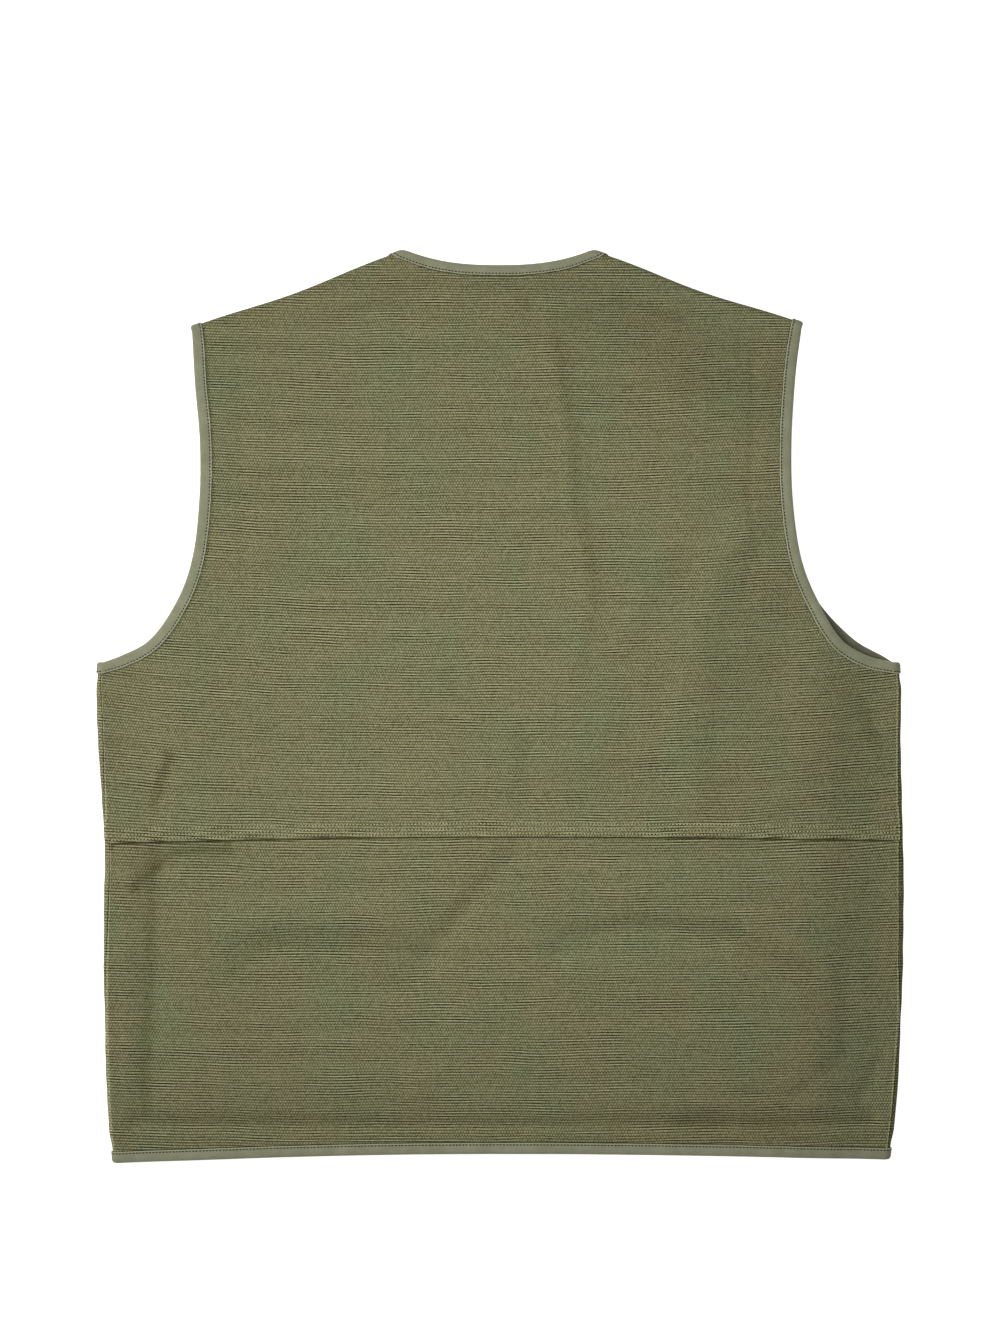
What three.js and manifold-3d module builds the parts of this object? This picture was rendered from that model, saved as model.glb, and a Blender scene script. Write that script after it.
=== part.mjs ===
// A canvas work gilet that lies flat on its front, back up: cloth panels, folded binding and a front zip.
// Millimetres. +Z is up, +Y points to the neck and +X to the right of the gilet as seen from above.
import * as THREE from "three";
import { mergeVertices } from "three/addons/utils/BufferGeometryUtils.js";
import Module from "manifold-3d";

// Overall size, as it lies.
const WIDTH = 622;
const LENGTH = 705;

// Cloth and binding.
const CLOTH = 1.2;
const TAPE = 0.9;
const TAPE_WIDTH = 8.8;
const SEWN_GAP = 0.35; // air between two layers that are sewn together
const SEAM_GAP = 0.5; // between the edges of the back and the front, where they are sewn
const EDGE_ROOM = 0.9; // air between the edge of the cloth and the fold of the tape
const LAYER_ROOM = 4; // air between the bindings of the back and the front, where they fold

// Neck, shoulders and front opening.
const NECK_WIDTH = 132.5; // across the back, between the folds
const NECK_MIDDLE = -1; // the neck lies a little left of the middle
const NECK_SKEW = 15; // how much wider the neck is on the front at each shoulder, along the fold
const NECK_SPREAD = 0.36; // how much the tape widens where the back's neck edge meets the fold aslant
const BACK_NECK_DROP = 9.6;
const FRONT_NECK_DROP = 172;
const FRONT_NECK_BOW = 13;
const SHOULDER_SAG = 2.6;
const SHOULDER_SEAM_TURN = 2.1; // radians round the fold from the back to the shoulder seam
const SIDE_SEAM_TURN = 0.3; // radians round the fold from the back to the side seam

// Hem and the lapped seam across the back.
const HEM_ARCH = 7.7; // from the lowest point of the hem to its middle
const HEM_DROP = { left: 8.7, right: 5.5 };
const LAP_HEIGHT = 252.5; // from the lowest point of the hem to the edge of the lap, in the middle
const LAP_DROP = { left: 6.1, right: 3.4 };
const LAP_DEPTH = 13;
const LAP_RAMP = 16;

// How the back stands above its folded edges.
const LOFT = 8;
const LOFT_REACH = 78;
const HEM_SAG = 0.4;
const HEM_SAG_REACH = 90;
const FOLD_FADE = 26; // the folds of the cloth die out over this distance from a folded edge

// Zip.
const CHAIN_WIDTH = 6;
const CHAIN_DEPTH = 2.9;
const CHAIN_ROOM = 1;
const ZIP_TAPE_WIDTH = 30;
const ZIP_TAPE = 0.7;
const ZIP_DROP = 3; // from the foot of the neck's binding to the top of the zip
const SLIDER = { width: 10, length: 13, thickness: 0.9 };
const PULL = { width: 5, length: 24 };

// Mesh steps.
const ARMHOLE_STEPS = 18;
const SIDE_STEPS = 6;
const LOWER_STEPS = 10;
const SHOULDER_STEPS = 5;
const NECK_STEPS = 8;
const FRONT_NECK_STEPS = 10;
const FRONT_SIDE_STEPS = 13;
const HEM_STEPS = 9;
const TURN_STEPS = 6;

// The sides from the hem up, to the outer face of the binding that would lie there: heights as shares of
// LENGTH, distances from the middle as shares of WIDTH / 2.
const SIDES = [
  { up: 0.0, left: 0.962, right: 0.97 },
  { up: 0.035, left: 0.969, right: 0.979 },
  { up: 0.069, left: 0.974, right: 0.986 },
  { up: 0.2, left: 0.982, right: 1.001 },
  { up: 0.266, left: 0.982, right: 1.004 },
  { up: 0.353, left: 0.982, right: 1.001 },
  { up: 0.441, left: 0.994, right: 0.997 },
  { up: 0.52, left: 1.002, right: 0.998 },
  { up: 0.548, left: 1.0, right: 0.995 },
];

// The bound edge of the armholes, from just above the underarm up, in the same shares.
const UNDERARM_UP = 0.548;
const ARMHOLES = [
  { up: 0.5547, backLeft: 0.94, backRight: 0.914, frontLeft: 0.923, frontRight: 0.953 },
  { up: 0.572, backLeft: 0.867, backRight: 0.848, frontLeft: 0.854, frontRight: 0.884 },
  { up: 0.616, backLeft: 0.796, backRight: 0.787, frontLeft: 0.784, frontRight: 0.79 },
  { up: 0.66, backLeft: 0.76, backRight: 0.747, frontLeft: 0.751, frontRight: 0.743 },
  { up: 0.7254, backLeft: 0.742, backRight: 0.725, frontLeft: 0.73, frontRight: 0.717 },
  { up: 0.791, backLeft: 0.741, backRight: 0.722, frontLeft: 0.729, frontRight: 0.714 },
  { up: 0.8567, backLeft: 0.755, backRight: 0.732, frontLeft: 0.742, frontRight: 0.727 },
];

// The tip of each shoulder, where its fold meets the armhole, in the same shares.
const SHOULDER_TIPS = {
  left: { up: 0.9086, out: 0.7625 },
  right: { up: 0.9129, out: 0.749 },
};

// Main folds and dents of the back. Ends are shares of WIDTH / 2 and LENGTH / 2 from the middle, reach is a
// share of WIDTH / 2 and height of LOFT. A dent has a height below 0.
const CREASES = [
  { what: "upright fold", x1: 0.13, y1: 0.76, x2: 0.22, y2: 0.17, reach: 0.055, height: 0.21 },
  { what: "slanting fold", x1: 0.6, y1: 0.38, x2: 0.47, y2: -0.1, reach: 0.071, height: 0.29 },
  { what: "short fold", x1: 0.41, y1: 0.33, x2: 0.3, y2: 0.14, reach: 0.048, height: 0.15 },
  { what: "blade dent", x1: 0.8, y1: 0.25, x2: 0.62, y2: 0.05, reach: 0.084, height: -0.2 },
  { what: "side dent", x1: -0.87, y1: -0.34, x2: -0.885, y2: -0.84, reach: 0.042, height: -0.28 },
  { what: "left cross fold", x1: -0.64, y1: -0.53, x2: -0.18, y2: -0.53, reach: 0.058, height: 0.2 },
  { what: "right cross fold", x1: 0.15, y1: -0.51, x2: 0.74, y2: -0.56, reach: 0.058, height: 0.2 },
  { what: "middle drag", x1: 0.05, y1: -0.32, x2: -0.2, y2: -0.6, reach: 0.045, height: 0.16 },
  { what: "hem dent", x1: -0.9, y1: -0.915, x2: 0.92, y2: -0.915, reach: 0.042, height: -0.2 },
  { what: "corner drag", x1: 0.93, y1: -0.74, x2: 0.72, y2: -0.88, reach: 0.042, height: -0.22 },
];

// Sizes that follow from those above.
const HALF = WIDTH / 2;
const BOTTOM = -LENGTH / 2;
const TAPE_OUT = CLOTH / 2 + SEWN_GAP + TAPE; // from the middle of the cloth to the face of the tape
const TRIM = TAPE + EDGE_ROOM; // from the edge of the binding to the edge of the cloth
const REACH = TAPE_WIDTH + EDGE_ROOM; // from the edge of the binding to just past the tape
const FRONT_Z = TAPE_OUT;
const TURN_RADIUS = (2 * TAPE_OUT + LAYER_ROOM) / 2;
const BACK_Z = FRONT_Z + 2 * TURN_RADIUS;
const OUTER_RADIUS = TURN_RADIUS + TAPE_OUT;
const SEAM_TURN_GAP = SEAM_GAP / (TURN_RADIUS - CLOTH / 2);
const FRONT_EDGE = CHAIN_WIDTH / 2 + CHAIN_ROOM;

const WELD = 0.02; // points nearer than this are one
const MEET_ROUNDS = 5;

const ease = (t) => THREE.MathUtils.smootherstep(t, 0, 1);
const heightAt = (up) => BOTTOM + up * LENGTH;
const sideName = (side) => (side < 0 ? "left" : "right");
const capital = (word) => word[0].toUpperCase() + word.slice(1);

// A smooth function of height through one column of a table.
function column(rows, name) {
  return (up) => {
    const last = rows.length - 2;
    const found = rows.findIndex((row, i) => i <= last && up <= rows[i + 1].up);
    const i = found < 0 ? last : found;
    const [a, b] = [rows[i], rows[i + 1]];
    const [before, after] = [rows[Math.max(i - 1, 0)], rows[Math.min(i + 2, rows.length - 1)]];
    const t = THREE.MathUtils.clamp((up - a.up) / (b.up - a.up), 0, 1);
    const slopeA = ((b[name] - before[name]) / (b.up - before.up)) * (b.up - a.up);
    const slopeB = ((after[name] - a[name]) / (after.up - a.up)) * (b.up - a.up);
    const [t2, t3] = [t * t, t * t * t];
    return (
      (2 * t3 - 3 * t2 + 1) * a[name] +
      (t3 - 2 * t2 + t) * slopeA +
      (3 * t2 - 2 * t3) * b[name] +
      (t3 - t2) * slopeB
    );
  };
}

// A folded edge, where the back turns round to the front. along() is the place on it, and beyond() how
// far out a point of the plan lies. w runs down a side, and from the neck out along a shoulder.
function foldLine({ start, axis, out, offset }) {
  return {
    axis,
    out,
    along: (w) => start.clone().addScaledVector(axis, w).addScaledVector(out, offset(w)),
    beyond: (x, y) => {
      const from = new THREE.Vector2(x, y).sub(start);
      return from.dot(out) - offset(from.dot(axis));
    },
    // A point of the cloth at a turn round the fold, lift outside the middle of the cloth.
    at(w, turn, lift) {
      const radius = TURN_RADIUS + lift;
      const plan = this.along(w).addScaledVector(out, radius * Math.sin(turn));
      const z = FRONT_Z + TURN_RADIUS + radius * Math.cos(turn);
      return new THREE.Vector3(plan.x, plan.y, z);
    },
  };
}

function sideFold(side) {
  const share = column(SIDES, sideName(side));
  return foldLine({
    start: new THREE.Vector2(0, 0),
    axis: new THREE.Vector2(0, -1),
    out: new THREE.Vector2(side, 0),
    offset: (w) => share((-w - BOTTOM) / LENGTH) * HALF - OUTER_RADIUS,
  });
}

function tipPoint(side) {
  const tip = SHOULDER_TIPS[sideName(side)];
  return new THREE.Vector2(side * tip.out * HALF, heightAt(tip.up));
}

// How far out the neck edge lies at a turn round the shoulder fold, and how much its tape widens there.
const neckShift = (turn) => (NECK_SKEW * turn) / Math.PI;
const neckSpread = (turn) => 1 + NECK_SPREAD * Math.max(Math.cos(turn), 0);

function neckPoint(side) {
  const x = NECK_MIDDLE + (side * NECK_WIDTH) / 2;
  const tip = tipPoint(side);
  const slope = Math.atan2(LENGTH / 2 - OUTER_RADIUS - tip.y, Math.abs(tip.x - x));
  const corner = OUTER_RADIUS * Math.cos(slope) - neckShift(Math.PI / 2) * Math.sin(slope);
  return new THREE.Vector2(x, LENGTH / 2 - corner);
}

function shoulderFold(side) {
  const neck = neckPoint(side);
  const axis = tipPoint(side).sub(neck);
  const length = axis.length();
  axis.normalize();
  const out = new THREE.Vector2(-axis.y * side, axis.x * side);
  const sag = (w) => {
    const [from, to] = [NECK_SKEW + REACH, length - REACH];
    const share = THREE.MathUtils.clamp((w - from) / (to - from), 0, 1);
    return SHOULDER_SAG * Math.sin(Math.PI * share) ** 2;
  };
  return { ...foldLine({ start: neck, axis, out, offset: (w) => -sag(w) }), length };
}

const FOLDS = {
  left: { side: sideFold(-1), shoulder: shoulderFold(-1) },
  right: { side: sideFold(1), shoulder: shoulderFold(1) },
};

const hemY = (x) => {
  const drop = x < 0 ? HEM_DROP.left : HEM_DROP.right;
  return BOTTOM + HEM_ARCH - drop * (x / HALF) ** 2;
};
const lapY = (x) => {
  const drop = x < 0 ? LAP_DROP.left : LAP_DROP.right;
  return BOTTOM + LAP_HEIGHT - drop * (x / HALF) ** 2;
};

function crease({ x1, y1, x2, y2, reach, height }, x, y) {
  const [ax, ay] = [x1 * HALF, (y1 * LENGTH) / 2];
  const [dx, dy] = [x2 * HALF - ax, (y2 * LENGTH) / 2 - ay];
  const t = THREE.MathUtils.clamp(((x - ax) * dx + (y - ay) * dy) / (dx * dx + dy * dy), 0, 1);
  const distance = Math.hypot(x - ax - t * dx, y - ay - t * dy);
  return height * LOFT * Math.exp(-((distance / (reach * HALF)) ** 2));
}

// Height of the middle of the back's cloth over a point of the plan.
function backHeight(x, y) {
  let loft = LOFT * (1 - HEM_SAG * (1 - ease((y - hemY(x)) / HEM_SAG_REACH)));
  let fade = 1;
  for (const { side, shoulder } of Object.values(FOLDS)) {
    for (const fold of [side, shoulder]) {
      const inside = -fold.beyond(x, y);
      loft *= ease(inside / LOFT_REACH);
      fade *= ease(inside / FOLD_FADE);
    }
  }
  const dents = CREASES.reduce((sum, row) => sum + crease(row, x, y), 0);
  return BACK_Z + loft + dents * fade;
}

const frontHeight = () => FRONT_Z;

// The upper panel rides over the lower one where they are lapped.
const lapRise = (x, y) => (CLOTH + SEWN_GAP) * (1 - ease((y - lapY(x) - LAP_DEPTH) / LAP_RAMP));
const upperHeight = (x, y) => backHeight(x, y) + lapRise(x, y);

// A station is a place on a bound edge: a function that gives the point of the plan at a distance into the
// cloth. It goes in straight, or along a fold.
const straightIn = (point, inward) => (distance) => point.clone().addScaledVector(inward, distance);
const alongFold = (fold, w, rate) => (distance) => fold.along(w + rate * distance);

// Stations along a chain of points, square to it, the way into the cloth on its left (1) or right (-1).
function stations(points, way, [first, last]) {
  const between = points.slice(1, -1).map((point, i) => {
    const along = points[i + 2].clone().sub(points[i]).normalize();
    return straightIn(point, new THREE.Vector2(-along.y * way, along.x * way));
  });
  return [first, ...between, last];
}

function spaced(points, steps) {
  const curve = new THREE.CatmullRomCurve3(points.map((p) => new THREE.Vector3(p.x, p.y, 0)), false);
  return curve.getSpacedPoints(steps).map((p) => new THREE.Vector2(p.x, p.y));
}

// The bound edge of one armhole, on the back or the front, from the underarm to the shoulder.
function armholeEdge(layer, side) {
  const name = layer + capital(sideName(side));
  const fold = FOLDS[sideName(side)];
  const underarm = fold.side.along(-heightAt(UNDERARM_UP));
  const rows = ARMHOLES.map((row) => new THREE.Vector2(side * row[name] * HALF, heightAt(row.up)));
  return stations(spaced([underarm, ...rows, tipPoint(side)], ARMHOLE_STEPS), side, [
    alongFold(fold.side, -heightAt(UNDERARM_UP), 1),
    alongFold(fold.shoulder, fold.shoulder.length, -1),
  ]);
}

// The bound edge of the neck across the back, from left to right.
function backNeckEdge() {
  const [left, right] = [neckPoint(-1), neckPoint(1)];
  const bow = (t) => BACK_NECK_DROP * (1 - t * t);
  const points = Array.from({ length: NECK_STEPS + 1 }, (_, i) => {
    const share = i / NECK_STEPS;
    const y = THREE.MathUtils.lerp(left.y, right.y, share) - bow(2 * share - 1);
    return new THREE.Vector2(THREE.MathUtils.lerp(left.x, right.x, share), y);
  });
  const ends = [FOLDS.left, FOLDS.right].map(({ shoulder }) => alongFold(shoulder, 0, neckSpread(0)));
  return stations(points, -1, ends);
}

// The bound edge of the neck down one front, from the shoulder to the zip.
function frontNeckEdge(side) {
  const { shoulder } = FOLDS[sideName(side)];
  const top = shoulder.along(neckShift(Math.PI));
  const foot = new THREE.Vector2(side * FRONT_EDGE, LENGTH / 2 - FRONT_NECK_DROP);
  const middle = top.clone().add(foot).multiplyScalar(0.5);
  middle.add(new THREE.Vector2(side * FRONT_NECK_BOW, 0));
  return stations(spaced([top, middle, foot], FRONT_NECK_STEPS), side, [
    alongFold(shoulder, neckShift(Math.PI), neckSpread(Math.PI)),
    straightIn(foot, new THREE.Vector2(0, -1)),
  ]);
}

const sidePoint = (side, y) => FOLDS[sideName(side)].side.along(-y);

// Where a curve across the gilet, a height for each x, meets the side fold.
function meetFold(side, curve) {
  let point = sidePoint(side, 0);
  for (let i = 0; i < MEET_ROUNDS; i += 1) point = sidePoint(side, curve(point.x));
  return point;
}

// The ends that a row across a panel can have: a side fold, or the edge of a front at the zip.
const atFold = (side) => (curve) => meetFold(side, curve).x;
const atZip = (side) => () => side * FRONT_EDGE;

// The stations of the hem between two such ends, at shares of the way.
const hemEdge = (spread, from, to) =>
  spread.map((share) => (distance) => {
    const curve = (x) => hemY(x) + distance;
    const x = THREE.MathUtils.lerp(from(curve), to(curve), share);
    return new THREE.Vector2(x, curve(x));
  });

// Turns mid-surface patches into one closed sheet of cloth.
class Sheet {
  constructor(thickness) {
    this.half = thickness / 2;
    this.points = [];
    this.normals = [];
    this.quads = [];
  }

  vertex({ point, normal }) {
    const found = this.points.findIndex((other) => other.distanceTo(point) < WELD);
    if (found >= 0) return found;
    this.normals.push(normal);
    return this.points.push(point) - 1;
  }

  // A quad's corners in the order that turns it to the side its normals point to.
  turned(corners) {
    const [a, b, c, d] = corners.map((v) => this.points[v]);
    const facing = c.clone().sub(a).cross(d.clone().sub(b)).dot(this.normals[corners[0]]);
    return facing > 0 ? corners : corners.reverse();
  }

  // rows of { point, normal }, each as long as the others
  add(rows) {
    const index = rows.map((row) => row.map((corner) => this.vertex(corner)));
    for (let i = 0; i + 1 < index.length; i += 1) {
      for (let j = 0; j + 1 < index[i].length; j += 1) {
        const corners = [index[i][j], index[i][j + 1], index[i + 1][j + 1], index[i + 1][j]];
        this.quads.push(this.turned(corners));
      }
    }
  }

  geometry() {
    const count = this.points.length;
    const lifted = (sign) =>
      this.points.map((p, i) => p.clone().addScaledVector(this.normals[i], sign * this.half));
    const faces = [];
    const edges = new Map();
    for (const quad of this.quads) {
      const corners = quad.filter((v, i) => v !== quad[(i + 1) % 4]);
      faces.push(corners, corners.map((v) => v + count).reverse());
      corners.forEach((v, i) => {
        const next = corners[(i + 1) % corners.length];
        const reverse = `${next},${v}`;
        if (edges.has(reverse)) edges.delete(reverse);
        else edges.set(`${v},${next}`, [v, next]);
      });
    }
    for (const [v, next] of edges.values()) faces.push([next, v, v + count, next + count]);
    return closedGeometry([...lifted(1), ...lifted(-1)], faces);
  }
}

// A closed body from points and faces of three or four corners, turned so that its faces point out.
function closedGeometry(points, faces) {
  const triangles = faces.flatMap(([a, b, c, d]) => {
    return d === undefined ? [[a, b, c]] : [[a, b, c], [a, c, d]];
  });
  const volume = triangles.reduce(
    (sum, [a, b, c]) => sum + points[a].dot(points[b].clone().cross(points[c])),
    0,
  );
  const index = triangles.flatMap(([a, b, c]) => (volume < 0 ? [a, c, b] : [a, b, c]));
  const geometry = new THREE.BufferGeometry().setFromPoints(points).setIndex(index);
  geometry.computeVertexNormals();
  return geometry;
}

const UP = new THREE.Vector3(0, 0, 1);
const DOWN = new THREE.Vector3(0, 0, -1);

const onLayer = (plan, height, normal) => ({
  point: new THREE.Vector3(plan.x, plan.y, height(plan.x, plan.y)),
  normal,
});

const onFold = (fold, w, turn, lift = 0) => ({
  point: fold.at(w, turn, lift),
  normal: fold.at(w, turn, lift + 1).sub(fold.at(w, turn, lift)),
});

// Blends four edges of a panel into rows of plan points. Each pair of facing edges is as long.
function fill(bottom, top, left, right, across, upward) {
  return left.map((leftPoint, i) =>
    bottom.map((bottomPoint, j) => {
      const [u, v] = [across[j], upward[i]];
      const mix = (pick) =>
        (1 - v) * pick(bottomPoint) +
        v * pick(top[j]) +
        (1 - u) * pick(leftPoint) +
        u * pick(right[i]) -
        (1 - v) * ((1 - u) * pick(bottom[0]) + u * pick(bottom[bottom.length - 1])) -
        v * ((1 - u) * pick(top[0]) + u * pick(top[top.length - 1]));
      return new THREE.Vector2(mix((p) => p.x), mix((p) => p.y));
    }),
  );
}

// Shares of the way along a chain of points, by distance.
function shares(points) {
  const lengths = points.map((p, i) => (i ? p.distanceTo(points[i - 1]) : 0));
  const total = lengths.reduce((sum, length) => sum + length, 0);
  let run = 0;
  return lengths.map((length) => (run += length) / total);
}

const steps = (from, to, count) =>
  Array.from({ length: count + 1 }, (_, i) => THREE.MathUtils.lerp(from, to, i / count));

// Places between two bound edges. The first and last are the cloth's edges, the ones next to them
// lie just past the tape.
function boundRun(from, to, count, spread = 1) {
  const way = Math.sign(to - from);
  const inside = steps(from + way * REACH * spread, to - way * REACH, count);
  return [from + way * TRIM * spread, ...inside, to - way * TRIM];
}

// Places along a shoulder from the neck out, at a turn round the fold.
const shoulderRun = (side, turn) =>
  boundRun(neckShift(turn), FOLDS[sideName(side)].shoulder.length, SHOULDER_STEPS, neckSpread(turn));
const pastTape = (edge) => edge.map((station) => station(REACH));
const underTape = (edge) => edge.map((station) => [station(TRIM), station(REACH)]);

// The top of the back, past the tape: up one shoulder, across the neck and down the other shoulder.
function backTop() {
  const [left, right] = [-1, 1].map((side) => {
    const fold = FOLDS[sideName(side)].shoulder;
    return shoulderRun(side, 0).slice(1, -1).map((w) => fold.along(w));
  });
  return [...left.reverse(), ...pastTape(backNeckEdge().slice(1, -1)), ...right];
}

const BACK_TOP = backTop();
const BACK_SPREAD = shares(BACK_TOP);

// A row of points across the back along a curve, spread as its top is.
function across(curve) {
  const [left, right] = [-1, 1].map((side) => meetFold(side, curve).x);
  return BACK_SPREAD.map((share) => {
    const x = THREE.MathUtils.lerp(left, right, share);
    return new THREE.Vector2(x, curve(x));
  });
}

const onBack = (height) => (row) => row.map((plan) => onLayer(plan, height, UP));
const onFront = (row) => row.map((plan) => onLayer(plan, frontHeight, DOWN));

// A strip of back cloth that turns a little way round the side, to the seam.
function sideTurn(sheet, plans, side, rise) {
  const fold = FOLDS[sideName(side)].side;
  sheet.add(
    plans.map(({ x, y }) => [0, SIDE_SEAM_TURN].map((turn) => onFold(fold, -y, turn, rise(x, y)))),
  );
}

function backUpperPanel() {
  const sheet = new Sheet(CLOTH);
  const lapTop = across((x) => lapY(x) + LAP_DEPTH);
  const lapEdge = across(lapY);
  const arms = [-1, 1].map((side) => armholeEdge("back", side));
  const [left, right] = [-1, 1].map((side, i) => {
    const low = lapTop[i * (lapTop.length - 1)].y;
    const ys = steps(low, heightAt(UNDERARM_UP) - REACH, SIDE_STEPS);
    return [...ys.map((y) => sidePoint(side, y)), ...pastTape(arms[i]).slice(1)];
  });
  const upward = shares(left).map((share, i) => (share + shares(right)[i]) / 2);
  const rows = fill(lapTop, BACK_TOP, left, right, BACK_SPREAD, upward);
  const layer = onBack(upperHeight);
  sheet.add([lapEdge, ...rows].map(layer));
  for (const edge of [...arms, backNeckEdge()]) sheet.add(underTape(edge).map(layer));
  for (const [i, side] of [-1, 1].entries()) {
    const rise = [lapEdge[i * (lapEdge.length - 1)], ...[left, right][i].slice(0, SIDE_STEPS + 1)];
    sideTurn(sheet, [...rise, arms[i][0](TRIM)], side, lapRise);
    const shoulder = FOLDS[sideName(side)].shoulder;
    const turns = steps(0, SHOULDER_SEAM_TURN, TURN_STEPS - 2);
    sheet.add(turns.map((turn) => shoulderRun(side, turn).map((w) => onFold(shoulder, w, turn))));
  }
  return sheet.geometry();
}

function backLowerPanel() {
  const sheet = new Sheet(CLOTH);
  const between = steps(0, 1, LOWER_STEPS).map((t) =>
    across((x) => THREE.MathUtils.lerp(hemY(x) + REACH, lapY(x), t)),
  );
  const rows = [across((x) => hemY(x) + TRIM), ...between, across((x) => lapY(x) + LAP_DEPTH)];
  sheet.add(rows.map(onBack(backHeight)));
  sideTurn(sheet, rows.map((row) => row[0]), -1, () => 0);
  sideTurn(sheet, rows.map((row) => row[row.length - 1]), 1, () => 0);
  return sheet.geometry();
}

// One front, from the zip out to the side, where it turns up to the side seam, and up to the shoulder.
function frontPanel(side) {
  const sheet = new Sheet(CLOTH);
  const { side: fold, shoulder } = FOLDS[sideName(side)];
  const arm = armholeEdge("front", side);
  const neck = frontNeckEdge(side).reverse();
  const edgeSteps = FRONT_SIDE_STEPS + ARMHOLE_STEPS - FRONT_NECK_STEPS;
  const top = shoulderRun(side, Math.PI).slice(1, -1).map((w) => shoulder.along(w));
  const hem = hemEdge(shares(top), atZip(side), atFold(side));
  const foldYs = boundRun(meetFold(side, hemY).y, arm[0](0).y, FRONT_SIDE_STEPS);
  [TRIM, REACH].forEach((distance, i) => {
    foldYs[i] = hem[hem.length - 1](distance).y;
  });
  const edgeYs = boundRun(hemY(side * FRONT_EDGE), neck[0](0).y, edgeSteps);
  const edge = edgeYs.slice(1, -1).map((y) => new THREE.Vector2(side * FRONT_EDGE, y));
  const inner = [...edge, ...pastTape(neck).slice(1)];
  const outer = [...foldYs.slice(1, -1).map((y) => sidePoint(side, y)), ...pastTape(arm).slice(1)];
  sheet.add(fill(pastTape(hem), top, inner, outer, shares(top), shares(outer)).map(onFront));
  for (const bound of [hem, arm, neck]) sheet.add(underTape(bound).map(onFront));
  const turnsTo = (last) => {
    const to = last + SEAM_TURN_GAP;
    return [...steps(Math.PI, 0, TURN_STEPS).filter((turn) => turn > to + SEAM_TURN_GAP), to];
  };
  const upSide = turnsTo(SIDE_SEAM_TURN);
  sheet.add(upSide.map((turn) => foldYs.map((y) => onFold(fold, -y, turn))));
  const overShoulder = turnsTo(SHOULDER_SEAM_TURN);
  sheet.add(overShoulder.map((turn) => shoulderRun(side, turn).map((w) => onFold(shoulder, w, turn))));
  return sheet.geometry();
}

// The binding's section: distances in from its edge, and off the middle of the cloth.
function tapeSection() {
  const inner = CLOTH / 2 + SEWN_GAP;
  const chamfer = TAPE;
  return [
    [TAPE_WIDTH, TAPE_OUT],
    [chamfer, TAPE_OUT],
    [0, TAPE_OUT - chamfer],
    [0, chamfer - TAPE_OUT],
    [chamfer, -TAPE_OUT],
    [TAPE_WIDTH, -TAPE_OUT],
    [TAPE_WIDTH, -inner],
    [TAPE, -inner],
    [TAPE, inner],
    [TAPE_WIDTH, inner],
  ];
}

// A binding from sections of points. It closes on itself, or ends in flat caps.
function tapeGeometry(sections, closed) {
  const size = sections[0].length;
  const faces = [];
  const last = closed ? sections.length : sections.length - 1;
  for (let i = 0; i < last; i += 1) {
    const next = ((i + 1) % sections.length) * size;
    for (let j = 0; j < size; j += 1) {
      const k = (j + 1) % size;
      faces.push([i * size + j, i * size + k, next + k, next + j]);
    }
  }
  if (!closed) {
    const outline = tapeSection().map(([s, t]) => new THREE.Vector2(s, t));
    const cap = THREE.ShapeUtils.triangulateShape(outline, []);
    const end = (sections.length - 1) * size;
    faces.push(...cap.map(([a, b, c]) => [c, b, a]), ...cap.map((face) => face.map((v) => v + end)));
  }
  return closedGeometry(sections.flat(), faces);
}

// The sections of a binding along stations of one layer. The lift is 1 on the back and -1 on the front.
function layerSections(edge, height, lift) {
  return edge.map((station) =>
    tapeSection().map(([s, t]) => {
      const plan = station(s);
      return new THREE.Vector3(plan.x, plan.y, height(plan.x, plan.y) + t * lift);
    }),
  );
}

// The sections of a binding as it turns round a fold, from the back or to it. place() is where its edge
// lies along the fold at a turn, and inwards() how that place changes a millimetre into the cloth.
function turnSections(fold, fromBack, place, inwards) {
  const turns = steps(0, Math.PI, TURN_STEPS);
  if (!fromBack) turns.reverse();
  return turns.map((turn) =>
    tapeSection().map(([s, t]) => fold.at(place(turn) + inwards(turn) * s, turn, t)),
  );
}

function armholeBinding(side) {
  const { side: sideLine, shoulder } = FOLDS[sideName(side)];
  const back = armholeEdge("back", side);
  const front = armholeEdge("front", side);
  return tapeGeometry(
    [
      ...layerSections(back.slice(1, -1), backHeight, 1),
      ...turnSections(shoulder, true, () => shoulder.length, () => -1),
      ...layerSections(front.slice(1, -1).reverse(), frontHeight, -1),
      ...turnSections(sideLine, false, () => -heightAt(UNDERARM_UP), () => 1),
    ],
    true,
  );
}

function neckBinding() {
  const back = backNeckEdge();
  const [left, right] = [-1, 1].map((side) => frontNeckEdge(side));
  return tapeGeometry(
    [
      ...layerSections(left.slice(1).reverse(), frontHeight, -1),
      ...turnSections(FOLDS.left.shoulder, false, neckShift, neckSpread),
      ...layerSections(back.slice(1, -1), backHeight, 1),
      ...turnSections(FOLDS.right.shoulder, true, neckShift, neckSpread),
      ...layerSections(right.slice(1), frontHeight, -1),
    ],
    false,
  );
}

function hemBinding() {
  const [left, right] = [-1, 1].map((side) => meetFold(side, hemY).y);
  const frontSpread = steps(0, 1, HEM_STEPS).slice(0, -1);
  const front = (side) => layerSections(hemEdge(frontSpread, atZip(side), atFold(side)), frontHeight, -1);
  const back = hemEdge(BACK_SPREAD.slice(1, -1), atFold(-1), atFold(1));
  return tapeGeometry(
    [
      ...front(-1),
      ...turnSections(FOLDS.left.side, false, () => -left, () => -1),
      ...layerSections(back, backHeight, 1),
      ...turnSections(FOLDS.right.side, true, () => -right, () => -1),
      ...front(1).reverse(),
    ],
    false,
  );
}

const wasm = await Module();
wasm.setup();

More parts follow.
